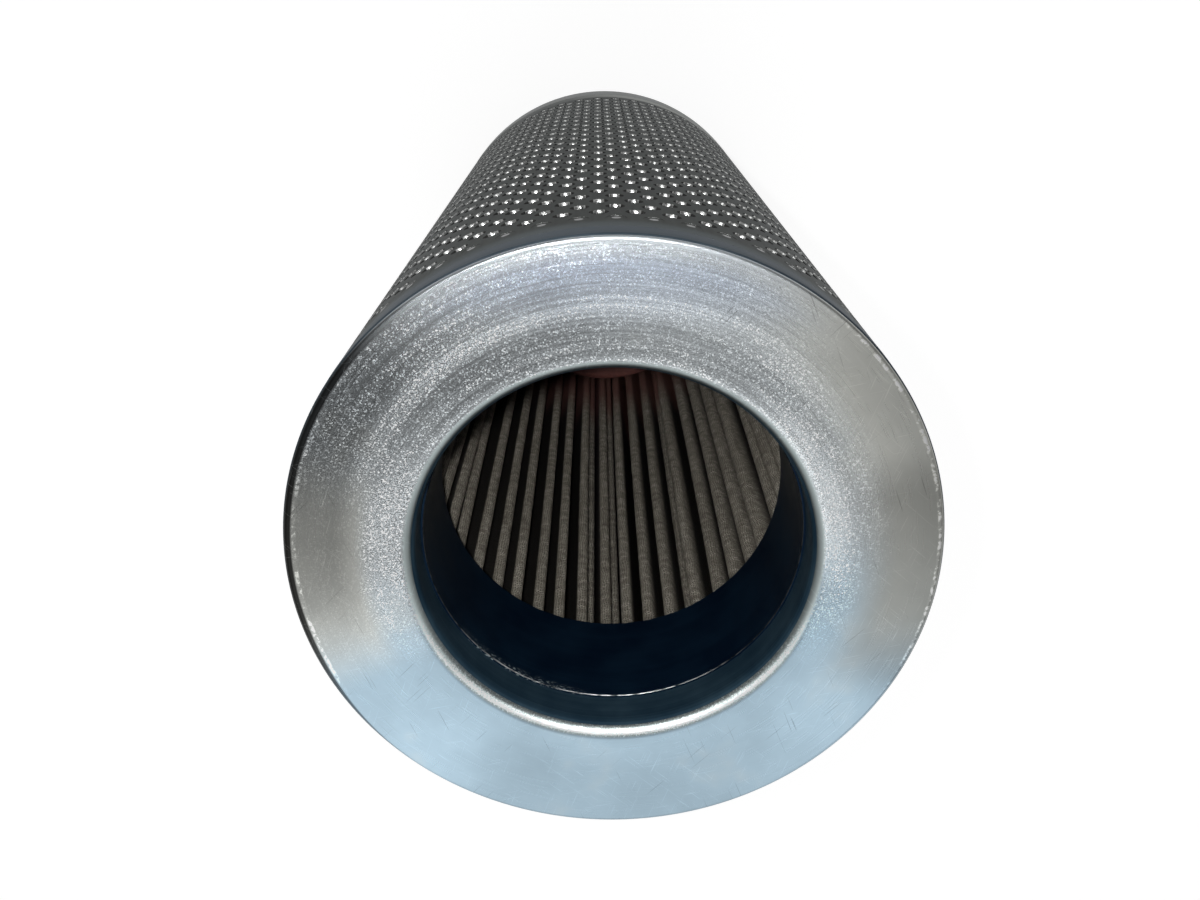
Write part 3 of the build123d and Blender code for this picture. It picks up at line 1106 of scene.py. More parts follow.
@dataclass(frozen=True)
class PerforatedTube:
    """Rolled sheet with 58 punched holes in each row, every second row turned by about half a hole."""

    sizes: ElementSizes
    sheet: float = 1.0 * MM
    hole_radius: float = 2.3 * MM
    holes_round: int = 58
    row_spacing: float = 6.64 * MM
    first_row_depth: float = 16.7 * MM
    rear_margin: float = 14.0 * MM
    first_angle: float = 0.4
    stagger: float = 0.54
    hole_sides: int = 16
    # Wall stretches within this share face along the axis and stay bare steel; the rest get painted shade.
    bright_share: float = 0.62
    rollover: float = 22.0
    seam_column: int = 33

    @property
    def rows(self) -> int:
        """Number of rows between the two plain margins."""
        lowest = self.sizes.tube_bottom + self.rear_margin + self.hole_radius
        reach = self.sizes.length - self.first_row_depth - lowest
        return int(reach / self.row_spacing) + 1

    @property
    def pitch(self) -> float:
        """Angle between two holes of a row, in radians."""
        return 2 * math.pi / self.holes_round

    def row_height(self, row: float) -> float:
        """Height of a row's middle, the first row being nearest to the open end."""
        return self.sizes.length - self.first_row_depth - row * self.row_spacing

    def row_angle(self, row: int) -> float:
        """Angle of a row's first hole, in radians."""
        return math.radians(self.first_angle) + (row % 2) * self.stagger * self.pitch

    def build(self, finishes: Finishes) -> bpy.types.Object:
        """Build and dress the tube."""
        corners, aims = self.corners()
        faces, facing = self.faces()
        mesh = bpy.data.meshes.new("perforated_tube_visual")
        mesh.from_pydata(corners, [], faces)
        mesh.materials.append(finishes.tube)
        mesh.materials.append(finishes.sheared)
        mesh.materials.append(finishes.shade)
        finish_of = {Facing.BRIGHT_WALL: 1, Facing.PAINTED_SHADE_WALL: 2}
        mesh.polygons.foreach_set("material_index", [finish_of.get(side, 0) for side in facing])
        mesh.shade_smooth()
        self.set_normals(mesh, np.array(corners), np.array(aims), facing)
        tube = bpy.data.objects.new(mesh.name, mesh)
        return mounted(tube, ("perforated_tube",))

    def line_angles(self) -> list[float]:
        """Angles of the corners on the lines between rows: the even and the odd rows' cell corners."""
        even = self.row_angle(0) - self.pitch / 2
        odd = self.row_angle(1) - self.pitch / 2
        angles = []
        for column in range(self.holes_round):
            angles += [even + column * self.pitch, odd + column * self.pitch]
        return angles

    def line_heights(self) -> list[float]:
        """Heights of the tube's end, the lines between rows, and its other end, from the top down."""
        lines = [self.row_height(row - 0.5) for row in range(self.rows + 1)]
        return [self.sizes.tube_top] + lines + [self.sizes.tube_bottom]

    def corners(self) -> tuple[list[Place], list[Place]]:
        """Every corner, and where the wall of its hole looks.

        Returns:
            The corners and the directions, which are zero away from the holes.
        """
        radii = (self.sizes.outer_radius, self.sizes.outer_radius - self.sheet)
        corners: list[Place] = []
        aims: list[Place] = []
        for radius in radii:
            for height in self.line_heights():
                for angle in self.line_angles():
                    x, y = polar(radius, angle)
                    corners.append((x, y, height))
                    aims.append((0.0, 0.0, 0.0))
        for row in range(self.rows):
            for column in range(self.holes_round):
                middle = self.row_angle(row) + column * self.pitch
                for radius in radii:
                    self.hole_ring(radius, middle, self.row_height(row), corners, aims)
        return corners, aims

    def hole_ring(
        self, radius: float, middle: float, height: float, corners: list[Place], aims: list[Place]
    ) -> None:
        """Add the ring of corners of one hole on one side of the sheet.

        The punch draws the hole's outer edge in, so the wall leans outwards there.
        """
        lean = math.radians(self.rollover) if radius == self.sizes.outer_radius else 0.0
        for side in range(self.hole_sides):
            turn = 2 * math.pi * (side + 0.5) / self.hole_sides
            across, up = math.sin(turn), math.cos(turn)
            angle = middle + self.hole_radius * across / self.sizes.outer_radius
            x, y = polar(radius, angle)
            corners.append((x, y, height + self.hole_radius * up))
            inward = math.cos(lean)
            east, north = polar(math.sin(lean), angle)
            aims.append((
                east - inward * across * math.cos(angle), north + inward * across * math.sin(angle), -inward * up
            ))

    def faces(self) -> tuple[list[tuple[int, ...]], list[Facing]]:
        """Every face and the way it looks."""
        faces: list[tuple[int, ...]] = []
        facing: list[Facing] = []
        per_line = 2 * self.holes_round
        lines = self.rows + 3
        per_side = per_line * lines

        def add(face: tuple[int, ...], way: Facing) -> None:
            faces.append(face)
            facing.append(way)

        for band in (0, lines - 2):
            for step in range(per_line):
                nearby = (step + 1) % per_line
                top, below = band * per_line, (band + 1) * per_line
                ring = (top + step, top + nearby, below + nearby, below + step)
                add(ring, Facing.OUTWARDS)
                add(tuple(per_side + index for index in ring[::-1]), Facing.INWARDS)
        for end in (0, lines - 1):
            for step in range(per_line):
                nearby = (step + 1) % per_line
                here = end * per_line
                face = (here + step, per_side + here + step, per_side + here + nearby, here + nearby)
                add(face if end == 0 else face[::-1], Facing.ALONG_AXIS)
        rings = 2 * per_side
        for row in range(self.rows):
            for column in range(self.holes_round):
                border = self.cell_border(row, column, per_line)
                hole = rings + (row * self.holes_round + column) * 2 * self.hole_sides
                outer_ring = [hole + side for side in range(self.hole_sides)]
                inner_ring = [index + self.hole_sides for index in outer_ring]
                inner_border = [index + per_side for index in border]
                if column == self.seam_column:
                    add(tuple(border), Facing.OUTWARDS)
                    add(tuple(inner_border[::-1]), Facing.INWARDS)
                    continue
                for a, b, c in self.cell_pattern(row):
                    cell = [(border + outer_ring)[index] for index in (a, b, c)]
                    add(tuple(cell), Facing.OUTWARDS)
                    cell = [(inner_border + inner_ring)[index] for index in (c, b, a)]
                    add(tuple(cell), Facing.INWARDS)
                for side in range(self.hole_sides):
                    nearby = (side + 1) % self.hole_sides
                    wall = (outer_ring[side], outer_ring[nearby], inner_ring[nearby], inner_ring[side])
                    add(wall, self.wall_kind(side))
        return faces, facing

    def wall_kind(self, side: int) -> Facing:
        """How a stretch of a hole's wall is coloured: bare bright steel where it faces along the axis, nearly black
        painted shade where it faces round the tube.
        """
        turn = 2 * math.pi * (side + 1) / self.hole_sides
        return Facing.BRIGHT_WALL if abs(math.sin(turn)) < self.bright_share else Facing.PAINTED_SHADE_WALL

    def cell_border(self, row: int, column: int, per_line: int) -> list[int]:
        """Six corners round a hole's cell, clockwise as seen from outside, from the top left."""
        start = 2 * column + row % 2
        top = (row + 1) * per_line
        below = (row + 2) * per_line
        steps = [(start + step) % per_line for step in range(3)]
        return [top + step for step in steps] + [below + step for step in steps[::-1]]

    def cell_pattern(self, row: int) -> list[tuple[int, int, int]]:
        """Triangles between a cell's six border corners (0 to 5) and its hole's corners (from 6)."""
        middle_share = self.stagger if row % 2 == 0 else 1 - self.stagger
        half_width = self.pitch * self.sizes.outer_radius / 2
        half_height = self.row_spacing / 2
        middle = (2 * middle_share - 1) * half_width
        border = [(-half_width, half_height), (middle, half_height), (half_width, half_height)]
        border += [(half_width, -half_height), (middle, -half_height), (-half_width, -half_height)]
        outside = [math.atan2(x, y) for x, y in border]
        outside = [outside[0]] + [self.after(outside[0], angle) for angle in outside[1:]]
        inside = [2 * math.pi * (side + 0.5) / self.hole_sides for side in range(self.hole_sides)]
        first = min(range(self.hole_sides), key=lambda side: abs(self.wrapped(inside[side] - outside[0])))
        order = [(first + step) % self.hole_sides for step in range(self.hole_sides)]
        inner_angles = [outside[0] + self.wrapped(inside[first] - outside[0])]
        for step in order[1:]:
            inner_angles.append(self.after(inner_angles[0], inside[step]))
        outside.append(outside[0] + 2 * math.pi)
        inner_angles.append(inner_angles[0] + 2 * math.pi)
        triangles = []
        out, into = 0, 0
        while out < 6 or into < self.hole_sides:
            here_out, here_in = out % 6, 6 + order[into % self.hole_sides]
            step_out = into == self.hole_sides
            if out < 6 and into < self.hole_sides:
                step_out = outside[out + 1] + outside[out] < inner_angles[into + 1] + inner_angles[into]
            if step_out:
                triangles.append((here_out, (out + 1) % 6, here_in))
                out += 1
            else:
                triangles.append((here_out, 6 + order[(into + 1) % self.hole_sides], here_in))
                into += 1
        return triangles

    def wrapped(self, angle: float) -> float:
        """An angle brought between minus and plus half a turn."""
        return (angle + math.pi) % (2 * math.pi) - math.pi

    def after(self, first: float, angle: float) -> float:
        """An angle brought into the turn that starts at the first one."""
        return first + (angle - first) % (2 * math.pi)

    def set_normals(
        self, mesh: bpy.types.Mesh, corners: np.ndarray, aims: np.ndarray, facing: list[Facing]
    ) -> None:
        """Give each face corner the true normal of the cylinder or of its hole's wall."""
        loops = np.zeros(len(mesh.loops), np.int32)
        mesh.loops.foreach_get("vertex_index", loops)
        counts = np.zeros(len(mesh.polygons), np.int32)
        mesh.polygons.foreach_get("loop_total", counts)
        ways = np.repeat([side.value for side in facing], counts)
        radial = corners[loops] * (1.0, 1.0, 0.0)
        radial /= np.linalg.norm(radial, axis=1)[:, None]
        normals = radial.copy()
        normals[ways == Facing.INWARDS.value] *= -1
        walls = (ways == Facing.BRIGHT_WALL.value) | (ways == Facing.PAINTED_SHADE_WALL.value)
        normals[walls] = aims[loops][walls]
        level = ways == Facing.ALONG_AXIS.value
        upper = corners[loops][:, 2] > self.sizes.length / 2
        normals[level] = (0.0, 0.0, 1.0)
        normals[level & ~upper] = (0.0, 0.0, -1.0)
        mesh.normals_split_custom_set(normals.tolist())


@dataclass(frozen=True)
class HolePlugs:
    """Filler that was squeezed into the first row of holes, over the cap's skirt."""

    tube: PerforatedTube
    sunk: float = 0.03 * MM
    rings: tuple[float, ...] = (1.0, 0.8, 0.45)

    def build(self, finishes: Finishes) -> bpy.types.Object:
        """Build and dress the plugs."""
        draft = MeshDraft.empty()
        tube = self.tube
        rng = Random(5)
        for column in range(tube.holes_round):
            if column == tube.seam_column:
                continue
            middle = tube.row_angle(0) + column * tube.pitch
            self.plug(draft, middle, rng.uniform(0.0, 0.03) * MM)
        return draft.piece("hole_filler", Slot.ADHESIVE, [finishes.tube, finishes.worn], ())

    def plug(self, draft: MeshDraft, middle: float, lower: float) -> None:
        """Add one plug: a shallow dish that fills its hole down to the sheet's inner side."""
        tube = self.tube
        sides = tube.hole_sides
        outer = tube.sizes.outer_radius
        levels = [(1.0, outer - tube.sheet)]
        levels += [(share, outer - self.sunk - lower - 0.03 * MM * (1 - share)) for share in self.rings]
        corners: list[Place] = []
        for share, radius in levels:
            for side in range(sides):
                turn = 2 * math.pi * (side + 0.5) / sides
                x, y = polar(radius, middle + 0.985 * share * tube.hole_radius * math.sin(turn) / outer)
                corners.append((x, y, tube.row_height(0) + 0.985 * share * tube.hole_radius * math.cos(turn)))
        faces: list[tuple[int, ...]] = []
        for level in range(len(levels) - 1):
            for side in range(sides):
                nearby = (side + 1) % sides
                here, there = level * sides, (level + 1) * sides
                faces.append((here + side, here + nearby, there + nearby, there + side))
        faces.append(tuple(range(sides))[::-1])
        draft.add(corners, faces)
        # The innermost disc takes the painted-highlight finish.
        top = corners[-sides:]
        draft.add(top, [tuple(range(sides))], 1)


@dataclass(frozen=True)
class TubeSeam:
    """Weld along the rolled sheet's two edges, low and rippled, on the side away from the camera."""

    tube: PerforatedTube
    width: float = 2.6 * MM
    height: float = 0.16 * MM
    ripple: float = 1.1 * MM

    def build(self, finishes: Finishes) -> bpy.types.Object:
        """Build and dress the weld."""
        tube, sizes = self.tube, self.tube.sizes
        middle = tube.row_angle(0) + (tube.seam_column + tube.stagger / 2) * tube.pitch
        across = 6
        rows = int((sizes.tube_top - sizes.tube_bottom) / (self.ripple / 4))
        corners: list[Place] = []
        for row in range(rows + 1):
            height = sizes.tube_bottom + (sizes.tube_top - sizes.tube_bottom) * row / rows
            wave = 0.75 + 0.25 * math.sin(2 * math.pi * height / self.ripple)
            for step in range(across + 1):
                share = step / across
                lift = self.height * wave * math.sin(math.pi * share) - 0.04 * MM
                angle = middle + self.width * (share - 0.5) / sizes.outer_radius
                x, y = polar(sizes.outer_radius + lift, angle)
                corners.append((x, y, height))
        faces = []
        for row in range(rows):
            for step in range(across):
                here = row * (across + 1) + step
                there = here + across + 1
                faces.append((here, there, there + 1, here + 1))
        draft = MeshDraft.empty()
        draft.add(corners, faces)
        return draft.piece("tube_weld", Slot.TUBE, [finishes.clip], ())


@dataclass(frozen=True)
class PackLine:
    """Middle line of the pleated pack, round its folds, with the small unevenness of folded wire cloth."""

    sizes: ElementSizes
    pleats: int = 45
    seam_angle: float = 2.5
    pack_sheet: float = 1.4 * MM
    fold_width: float = 3.3 * MM
    neck_step: float = 0.6 * MM
    cap_sheet: float = 1.5 * MM
    clearance: float = 0.3 * MM
    clip_depth: float = 8.1 * MM
    crest_steps: int = 8
    leg_steps: int = 4
    lean: float = 1.2
    sag: float = 0.5 * MM
    deep_share: float = 0.28
    deep: float = 1.5 * MM
    bow: float = 0.4
    tucked_after: tuple[int, ...] = (4, 9, 14, 18, 21, 22, 25, 31, 37, 41)
    tucked_depth: float = 6.0 * MM
    tucked_half: float = 0.72 * MM
    side_swell: float = 0.55 * MM
    seed: int = 23

    @property
    def inner(self) -> float:
        """Middle line's radius at the crests, on the bore side."""
        neck = self.sizes.bore_radius + self.neck_step + self.cap_sheet
        return neck + self.clearance + self.pack_sheet / 2

    @property
    def outer(self) -> float:
        """Middle line's radius at the outer folds."""
        return self.sizes.pack_outer_radius - self.pack_sheet / 2

    @property
    def half(self) -> float:
        """Radius of the middle line round a fold."""
        return (self.fold_width - self.pack_sheet) / 2

    def unevenness(self) -> list[tuple[float, float, float, float]]:
        """For each crest: its lean in degrees, its sag outwards, its bow in degrees and where it bows."""
        rng = Random(self.seed)
        pleats = []
        for _ in range(self.pleats):
            sag = rng.uniform(0.0, self.sag)
            if rng.random() < self.deep_share:
                sag += self.deep
            pleats.append((
                rng.uniform(-self.lean, self.lean), sag, rng.uniform(-self.bow, self.bow), rng.uniform(0.3, 0.7)
            ))
        return pleats

    def at(self, height_share: float) -> list[Point]:
        """The line's points at a share of the pack's height.

        Args:
            height_share: 0 at the pack's bottom and 1 at its top.

        Returns:
            Points from one end of the seam round to the other.
        """
        pitch = 360 / self.pleats
        ends = math.sin(math.pi * height_share)
        clip_end = self.sizes.pack_outer_radius - self.clip_depth
        start = self.turned(self.half, self.sizes.pack_outer_radius, self.seam_angle)
        points = self.leg(start, self.turned(self.half, clip_end, self.seam_angle), 2)[:-1]
        last = self.turned(self.half, clip_end, self.seam_angle)
        for pleat, (lean, sag, bow, where) in enumerate(self.unevenness()):
            shift = lean + bow * math.cos(math.pi * (height_share - where)) * ends
            crest = self.seam_angle + pitch * (pleat + 0.5) + shift
            width = self.half + self.side_swell * math.sin(math.radians(crest)) ** 2
            folds = [(self.inner + sag * ends, crest, width, False)] + self.folds_after(pleat)
            for fold in folds:
                arc_points = self.fold(*fold)
                points += self.leg(last, arc_points[0], self.leg_steps)[:-1] + arc_points
                last = points.pop()
        finish = self.turned(-self.half, clip_end, self.seam_angle)
        end = self.turned(-self.half, self.sizes.pack_outer_radius, self.seam_angle)
        return points + self.leg(last, finish, self.leg_steps)[:-1] + self.leg(finish, end, 2)

    def exposure(self) -> list[float]:
        """For each point of the line, how open it lies: 1 on a crest, 0 down between two folds."""
        shares = [0.0] * 2
        for pleat in range(self.pleats):
            levels = [0.80] + [0.0 if outside else 0.50 for *_, outside in self.folds_after(pleat)]
            for level in levels:
                shares += [0.0] * self.leg_steps
                for step in range(self.crest_steps):
                    swell = math.sin(math.pi * step / self.crest_steps)
                    shares.append(level * (1 + 0.25 * swell))
        return shares + [0.0] * (self.leg_steps + 3)

    def folds_after(self, pleat: int) -> list[tuple[float, float, float, bool]]:
        """Folds between a crest and the next one, as (radius, degrees, half width, outside).

        Mostly there is one outer fold. At some places a narrow crest was pushed deep between two of them.
        """
        if pleat == self.pleats - 1:
            return []
        middle = self.seam_angle + 360 / self.pleats * (pleat + 1)
        if pleat not in self.tucked_after:
            return [(self.outer, middle, self.half, True)]
        step = math.degrees((self.half + self.tucked_half) / self.outer)
        return [
            (self.outer, middle - step, self.half, True),
            (self.inner + self.tucked_depth, middle, self.tucked_half, False),
            (self.outer, middle + step, self.half, True),
        ]

    def turned(self, x: float, y: float, degrees: float) -> Point:
        """The point (x, y) turned clockwise about the axis."""
        angle = math.radians(degrees)
        return (x * math.cos(angle) + y * math.sin(angle), y * math.cos(angle) - x * math.sin(angle))

    def fold(self, radius: float, degrees: float, half: float, outside: bool) -> list[Point]:
        """Points round a fold's end, in the order of the line."""
        way = 1 if outside else -1
        points = []
        for step in range(self.crest_steps + 1):
            turn = math.pi * step / self.crest_steps
            x = -half * math.cos(turn)
            y = radius - way * half + way * half * math.sin(turn)
            points.append(self.turned(x, y, degrees))
        return points

    def leg(self, start: Point, end: Point, steps: int) -> list[Point]:
        """Points along a straight leg, both ends included."""
        points = []
        for step in range(steps + 1):
            share = step / steps
            points.append((start[0] + (end[0] - start[0]) * share, start[1] + (end[1] - start[1]) * share))
        return points


@dataclass(frozen=True)
class PleatedLayer:
    """One folded layer of the pack, from wire cloth or fibre."""

    line: PackLine
    name: str
    slot: Slot
    start: float
    sheet: float
    rows: int = 18

    def build(self, finish: bpy.types.Material) -> bpy.types.Object:
        """Build and dress the layer."""
        sizes = self.line.sizes
        near, far, lengths = [], [], []
        for row in range(self.rows + 1):
            share = row / self.rows
            height = sizes.pack_bottom + (sizes.pack_top - sizes.pack_bottom) * share
            middle = np.array(self.line.at(share))
            normal = self.normals(middle)
            offset = self.start - self.line.pack_sheet / 2
            for side, distance in ((near, offset), (far, offset + self.sheet)):
                flat = middle + normal * distance
                side.append(np.column_stack([flat, np.full(len(flat), height)]))
            lengths.append(np.concatenate([[0], np.cumsum(np.linalg.norm(np.diff(middle, axis=0), axis=1))]))
        corners = np.concatenate(near + far)
        faces, places = self.faces(len(near[0]), lengths[0])
        mesh = bpy.data.meshes.new(self.name + "_visual")
        mesh.from_pydata(corners.tolist(), [], faces)
        mesh.materials.append(finish)
        mesh.uv_layers.new(name="sheet").data.foreach_set("uv", np.array(places).ravel())
        exposed = np.tile(np.array(self.line.exposure(), np.float32), 2 * (self.rows + 1))
        mesh.attributes.new("exposed", "FLOAT", "POINT").data.foreach_set("value", exposed)
        mesh.shade_smooth()
        mesh.set_sharp_from_angle(angle=math.radians(60))
        return mounted(bpy.data.objects.new(mesh.name, mesh), (self.name,))

    def normals(self, middle: np.ndarray) -> np.ndarray:
        """Unit normals of the line, to its left, which is away from the bore."""
        run = np.gradient(middle, axis=0)
        run /= np.linalg.norm(run, axis=1)[:, None]
        return np.column_stack([-run[:, 1], run[:, 0]])

    def faces(self, count: int, lengths: np.ndarray) -> tuple[list[tuple[int, ...]], list[Point]]:
        """Faces of the two sides and the four narrow edges, with each corner's place on the sheet.

        Args:
            count: Points in the line.
            lengths: Length along the line at each point.

        Returns:
            The faces, and one (length, height) place for each of their corners in turn.
        """
        sizes = self.line.sizes
        side = count * (self.rows + 1)
        rise = (sizes.pack_top - sizes.pack_bottom) / self.rows
        faces: list[tuple[int, ...]] = []
        places: list[Point] = []

        def add(*corners: tuple[int, int, int]) -> None:
            faces.append(tuple(which * side + row * count + step for which, row, step in corners))
            places.extend((float(lengths[step]), row * rise) for _, row, step in corners)

        for row in range(self.rows):
            for step in range(count - 1):
                square = [(row, step), (row, step + 1), (row + 1, step + 1), (row + 1, step)]
                add(*[(0, a, b) for a, b in square[::-1]])
                add(*[(1, a, b) for a, b in square])
            for step in (0, count - 1):
                edge = [(0, row, step), (1, row, step), (1, row + 1, step), (0, row + 1, step)]
                add(*(edge[::-1] if step == 0 else edge))
        for row in (0, self.rows):
            for step in range(count - 1):
                edge = [(0, row, step), (0, row, step + 1), (1, row, step + 1), (1, row, step)]
                add(*(edge if row else edge[::-1]))
        return faces, places


@dataclass(frozen=True)
class Photographer:
    """Camera fitted to the photograph, in units of the element's outer radius and its front face."""

    sizes: ElementSizes
    side: float = -0.0488
    back: float = 2.8919
    rise: float = 1.6027
    yaw: float = -0.0025
    pitch: float = -0.4026
    roll: float = 0.0018
    focal_pixels: float = 1084.5
    frame_width: float = 1200.0
    sensor: float = 36.0

    def place(self) -> bpy.types.Object:
        """Create the camera and make it the scene's own."""
        radius = self.sizes.outer_radius
        data = bpy.data.cameras.new("photo_camera")
        data.sensor_width = self.sensor
        data.lens = self.focal_pixels / self.frame_width * self.sensor
        data.clip_start = 0.01
        data.clip_end = 20.0
        camera = bpy.data.objects.new("photo_camera", data)
        position = Vector((self.side * radius, self.rise * radius, self.sizes.length + self.back * radius))
        camera.matrix_world = Matrix.Translation(position) @ self.turn().to_4x4()
        bpy.context.scene.collection.objects.link(camera)
        bpy.context.scene.camera = camera
        return camera

    def turn(self) -> Matrix:
        """The camera's rotation: it looks down the bore, with the element's +Y side up."""
        yaw = Matrix.Rotation(self.yaw, 3, "Y")
        pitch = Matrix.Rotation(self.pitch, 3, "X")
        roll = Matrix.Rotation(-self.roll, 3, "Z")
        return yaw @ pitch @ roll


@dataclass(frozen=True)
class Studio:
    """Plain pale floor and soft lights."""

    floor_size: float = 6.0
    dome_level: float = 0.40
    ceiling_level: float = 0.34
    floor_colour: float = 0.35
    floor_glow: float = 0.81
    flash: Place = (-0.021, 0.122, 0.545)
    bore_flash: Place = (-0.014, 0.122, 0.545)
    cone: float = 30.0

    def build(self) -> None:
        """Build the floor, the dome and the lamps."""
        self.floor()
        self.dome()
        self.softbox("window", (-0.08, -0.97, 1.25), (0.0, 0.0, 0.30), (1.45, 0.90), 2.85)
        self.softbox("strip", (0.05, -0.18, 1.35), (0.0, 0.0, 0.30), (0.28, 0.34), 0.26)
        self.softbox("high_strip", (0.03, 0.55, 1.30), (0.0, 0.0, 0.30), (0.46, 0.80), 1.4)
        self.softbox("flash_sparkle", self.flash, (0.0, 0.0, 0.30), (0.008, 0.008), 0.36)
        self.torch()

    def torch(self) -> None:
        """Add the flash's light on the dull surfaces in the bore, in a cone that stays on the face."""
        data = bpy.data.lights.new("flash_bore", "SPOT")
        data.energy = 5.8
        data.spot_size = math.radians(self.cone)
        data.spot_blend = 0.3
        data.shadow_soft_size = 0.004
        lamp = bpy.data.objects.new("flash_bore", data)
        lamp.location = self.bore_flash
        lamp.rotation_euler = (Vector((0.0, 0.0, 0.28)) - Vector(self.bore_flash)).to_track_quat("-Z", "Y").to_euler()
        lamp.visible_glossy = False
        bpy.context.scene.collection.objects.link(lamp)

    def softbox(
        self, name: str, place: Place, target: Place, size: Point, watts: float
    ) -> bpy.types.Object:
        """Add a rectangular lamp.

        Args:
            name: Its name.
            place: Where it hangs.
            target: The point it faces.
            size: Its width and length.
            watts: Its power.

        Returns:
            The lamp's object.
        """
        data = bpy.data.lights.new(name, "AREA")
        data.shape = "RECTANGLE"
        data.size, data.size_y = size
        data.energy = watts
        lamp = bpy.data.objects.new(name, data)
        lamp.location = place
        lamp.rotation_euler = (Vector(target) - Vector(place)).to_track_quat("-Z", "Y").to_euler()
        bpy.context.scene.collection.objects.link(lamp)
        return lamp

    def seen(self, tree: bpy.types.NodeTree) -> bpy.types.NodeSocket:
        """1 for rays from the camera and through glossy or clear surfaces, else 0."""
        path = tree.nodes.new("ShaderNodeLightPath")
        total = path.outputs["Is Camera Ray"]
        for kind in ("Is Glossy Ray", "Is Transmission Ray"):
            node = tree.nodes.new("ShaderNodeMath")
            node.operation = "MAXIMUM"
            tree.links.new(total, node.inputs[0])
            tree.links.new(path.outputs[kind], node.inputs[1])
            total = node.outputs[0]
        return total

    def floor(self) -> None:
        """Add the floor, white to the camera but for the element's soft shadow."""
        half = self.floor_size / 2
        mesh = bpy.data.meshes.new("floor")
        corners = [(-half, -half, 0), (half, -half, 0), (half, half, 0), (-half, half, 0)]
        mesh.from_pydata(corners, [], [(0, 1, 2, 3)])
        material = bpy.data.materials.new("floor")
        material.use_nodes = True
        tree = material.node_tree
        shader = tree.nodes["Principled BSDF"]
        shader.inputs["Base Color"].default_value = (*[self.floor_colour] * 3, 1.0)
        shader.inputs["Roughness"].default_value = 0.9
        shader.inputs["Specular IOR Level"].default_value = 0.0
        shader.inputs["Emission Color"].default_value = (1.0, 1.0, 1.0, 1.0)
        glow = tree.nodes.new("ShaderNodeMath")
        glow.operation = "MULTIPLY"
        tree.links.new(self.seen(tree), glow.inputs[0])
        glow.inputs[1].default_value = self.floor_glow
        tree.links.new(glow.outputs[0], shader.inputs["Emission Strength"])
        mesh.materials.append(material)
        floor = bpy.data.objects.new("floor", mesh)
        floor.location.z = -0.2 * MM
        bpy.context.scene.collection.objects.link(floor)

    def dome(self) -> None:
        """Light from all round, white behind everything that is seen, with a greyer ceiling in metal."""
        world = bpy.data.worlds.new("dome")
        world.use_nodes = True
        tree = world.node_tree
        background = tree.nodes["Background"]
        background.inputs["Color"].default_value = (1.0, 1.0, 1.0, 1.0)
        direction = tree.nodes.new("ShaderNodeTexCoord").outputs["Generated"]
        split = tree.nodes.new("ShaderNodeSeparateXYZ")
        tree.links.new(direction, split.inputs[0])
        ceiling = tree.nodes.new("ShaderNodeMapRange")
        ceiling.interpolation_type = "SMOOTHSTEP"
        tree.links.new(split.outputs["Z"], ceiling.inputs["Value"])
        for name, value in (("From Min", 0.10), ("From Max", 0.38), ("To Min", 1.0), ("To Max", self.ceiling_level)):
            ceiling.inputs[name].default_value = value
        behind = tree.nodes.new("ShaderNodeMapRange")
        behind.interpolation_type = "SMOOTHSTEP"
        tree.links.new(split.outputs["Y"], behind.inputs["Value"])
        for name, value in (("From Min", -0.10), ("From Max", 0.14), ("To Min", 1.0), ("To Max", 0.30)):
            behind.inputs[name].default_value = value
        high = tree.nodes.new("ShaderNodeMapRange")
        tree.links.new(split.outputs["Z"], high.inputs["Value"])
        for name, value in (("From Min", 0.40), ("From Max", 0.70)):
            high.inputs[name].default_value = value
        tree.links.new(behind.outputs[0], high.inputs["To Max"])
        high.inputs["To Min"].default_value = 1.0
        both = tree.nodes.new("ShaderNodeMath")
        both.operation = "MULTIPLY"
        tree.links.new(ceiling.outputs[0], both.inputs[0])
        tree.links.new(high.outputs[0], both.inputs[1])
        level = tree.nodes.new("ShaderNodeMapRange")
        tree.links.new(self.seen(tree), level.inputs["Value"])
        level.inputs["To Min"].default_value = self.dome_level
        tree.links.new(both.outputs[0], level.inputs["To Max"])
        strength = tree.nodes.new("ShaderNodeMath")
        strength.operation = "MAXIMUM"
        tree.links.new(level.outputs[0], strength.inputs[0])
        tree.links.new(tree.nodes.new("ShaderNodeLightPath").outputs["Is Camera Ray"], strength.inputs[1])
        tree.links.new(strength.outputs[0], background.inputs["Strength"])
        bpy.context.scene.world = world


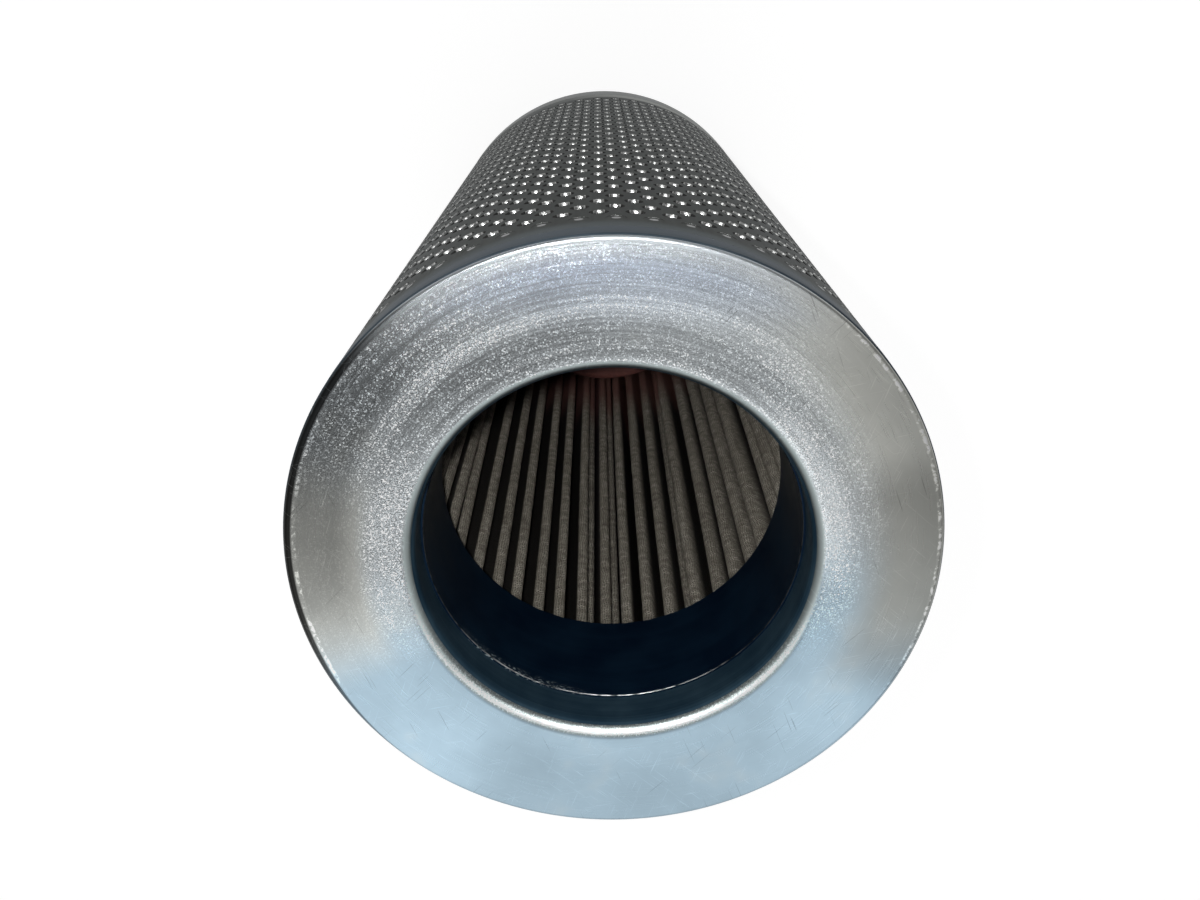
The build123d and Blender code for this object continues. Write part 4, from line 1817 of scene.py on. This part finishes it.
def dress(node: str, finish: bpy.types.Material) -> None:
    """Give a CAD node that stays in view its finish."""
    piece = frame["nodes"][node]
    piece.data.materials.clear()
    piece.data.materials.append(finish)


def report(pieces: list[bpy.types.Object]) -> None:
    """Log each piece with its number of triangles."""
    total = 0
    for piece in pieces:
        piece.data.calc_loop_triangles()
        count = len(piece.data.loop_triangles)
        total += count
        LOG.info("%s: %d triangles", piece.name, count)
    LOG.info("all pieces: %d triangles", total)


def main() -> None:
    """Build the element, the studio and the camera."""
    logging.basicConfig(level=logging.INFO, format="%(name)s: %(message)s")
    bpy.context.scene.view_settings.view_transform = "Standard"
    sizes = ElementSizes.from_frame()
    finishes = Finishes.build(sizes)
    tube = PerforatedTube(sizes)
    line = PackLine(sizes)
    neck_outside = sizes.bore_radius + line.neck_step + line.cap_sheet
    adhesive_inner = neck_outside + 0.1 * MM
    adhesive_outer = sizes.outer_radius - 2.85 * MM
    front_rim = sizes.length - sizes.tube_top
    pieces = [
        StampedCap(sizes, "front_end_cap", sizes.length, -1, front_rim, sizes.front_skirt_end).build(finishes),
        StampedCap(sizes, "rear_end_cap", 0.0, 1, sizes.tube_bottom, sizes.rear_skirt_end).build(finishes),
        SealingSleeve(sizes).build(finishes),
        BlindCup(sizes).build(finishes),
        tube.build(finishes),
        HolePlugs(tube).build(finishes),
        TubeSeam(tube).build(finishes),
        PleatedLayer(line, "inner_support_mesh", Slot.WIRE, 0.0, 0.40 * MM).build(finishes.wire),
        PleatedLayer(line, "filter_medium", Slot.FIBRE, 0.45 * MM, 0.50 * MM).build(finishes.fibre),
        PleatedLayer(line, "outer_support_mesh", Slot.WIRE, 1.00 * MM, 0.40 * MM).build(finishes.wire),
        PottingRing(
            sizes, "front_potting", sizes.length - 1.5 * MM, sizes.pack_top, adhesive_inner, adhesive_outer
        ).build(finishes),
        PottingRing(
            sizes, "rear_potting", 1.5 * MM, sizes.pack_bottom, adhesive_inner, adhesive_outer
        ).build(finishes),
    ]
    dress("seam_clip", finishes.clip)
    report(pieces)
    Studio().build()
    Photographer(sizes).place()


if __name__ == "__main__":
    main()
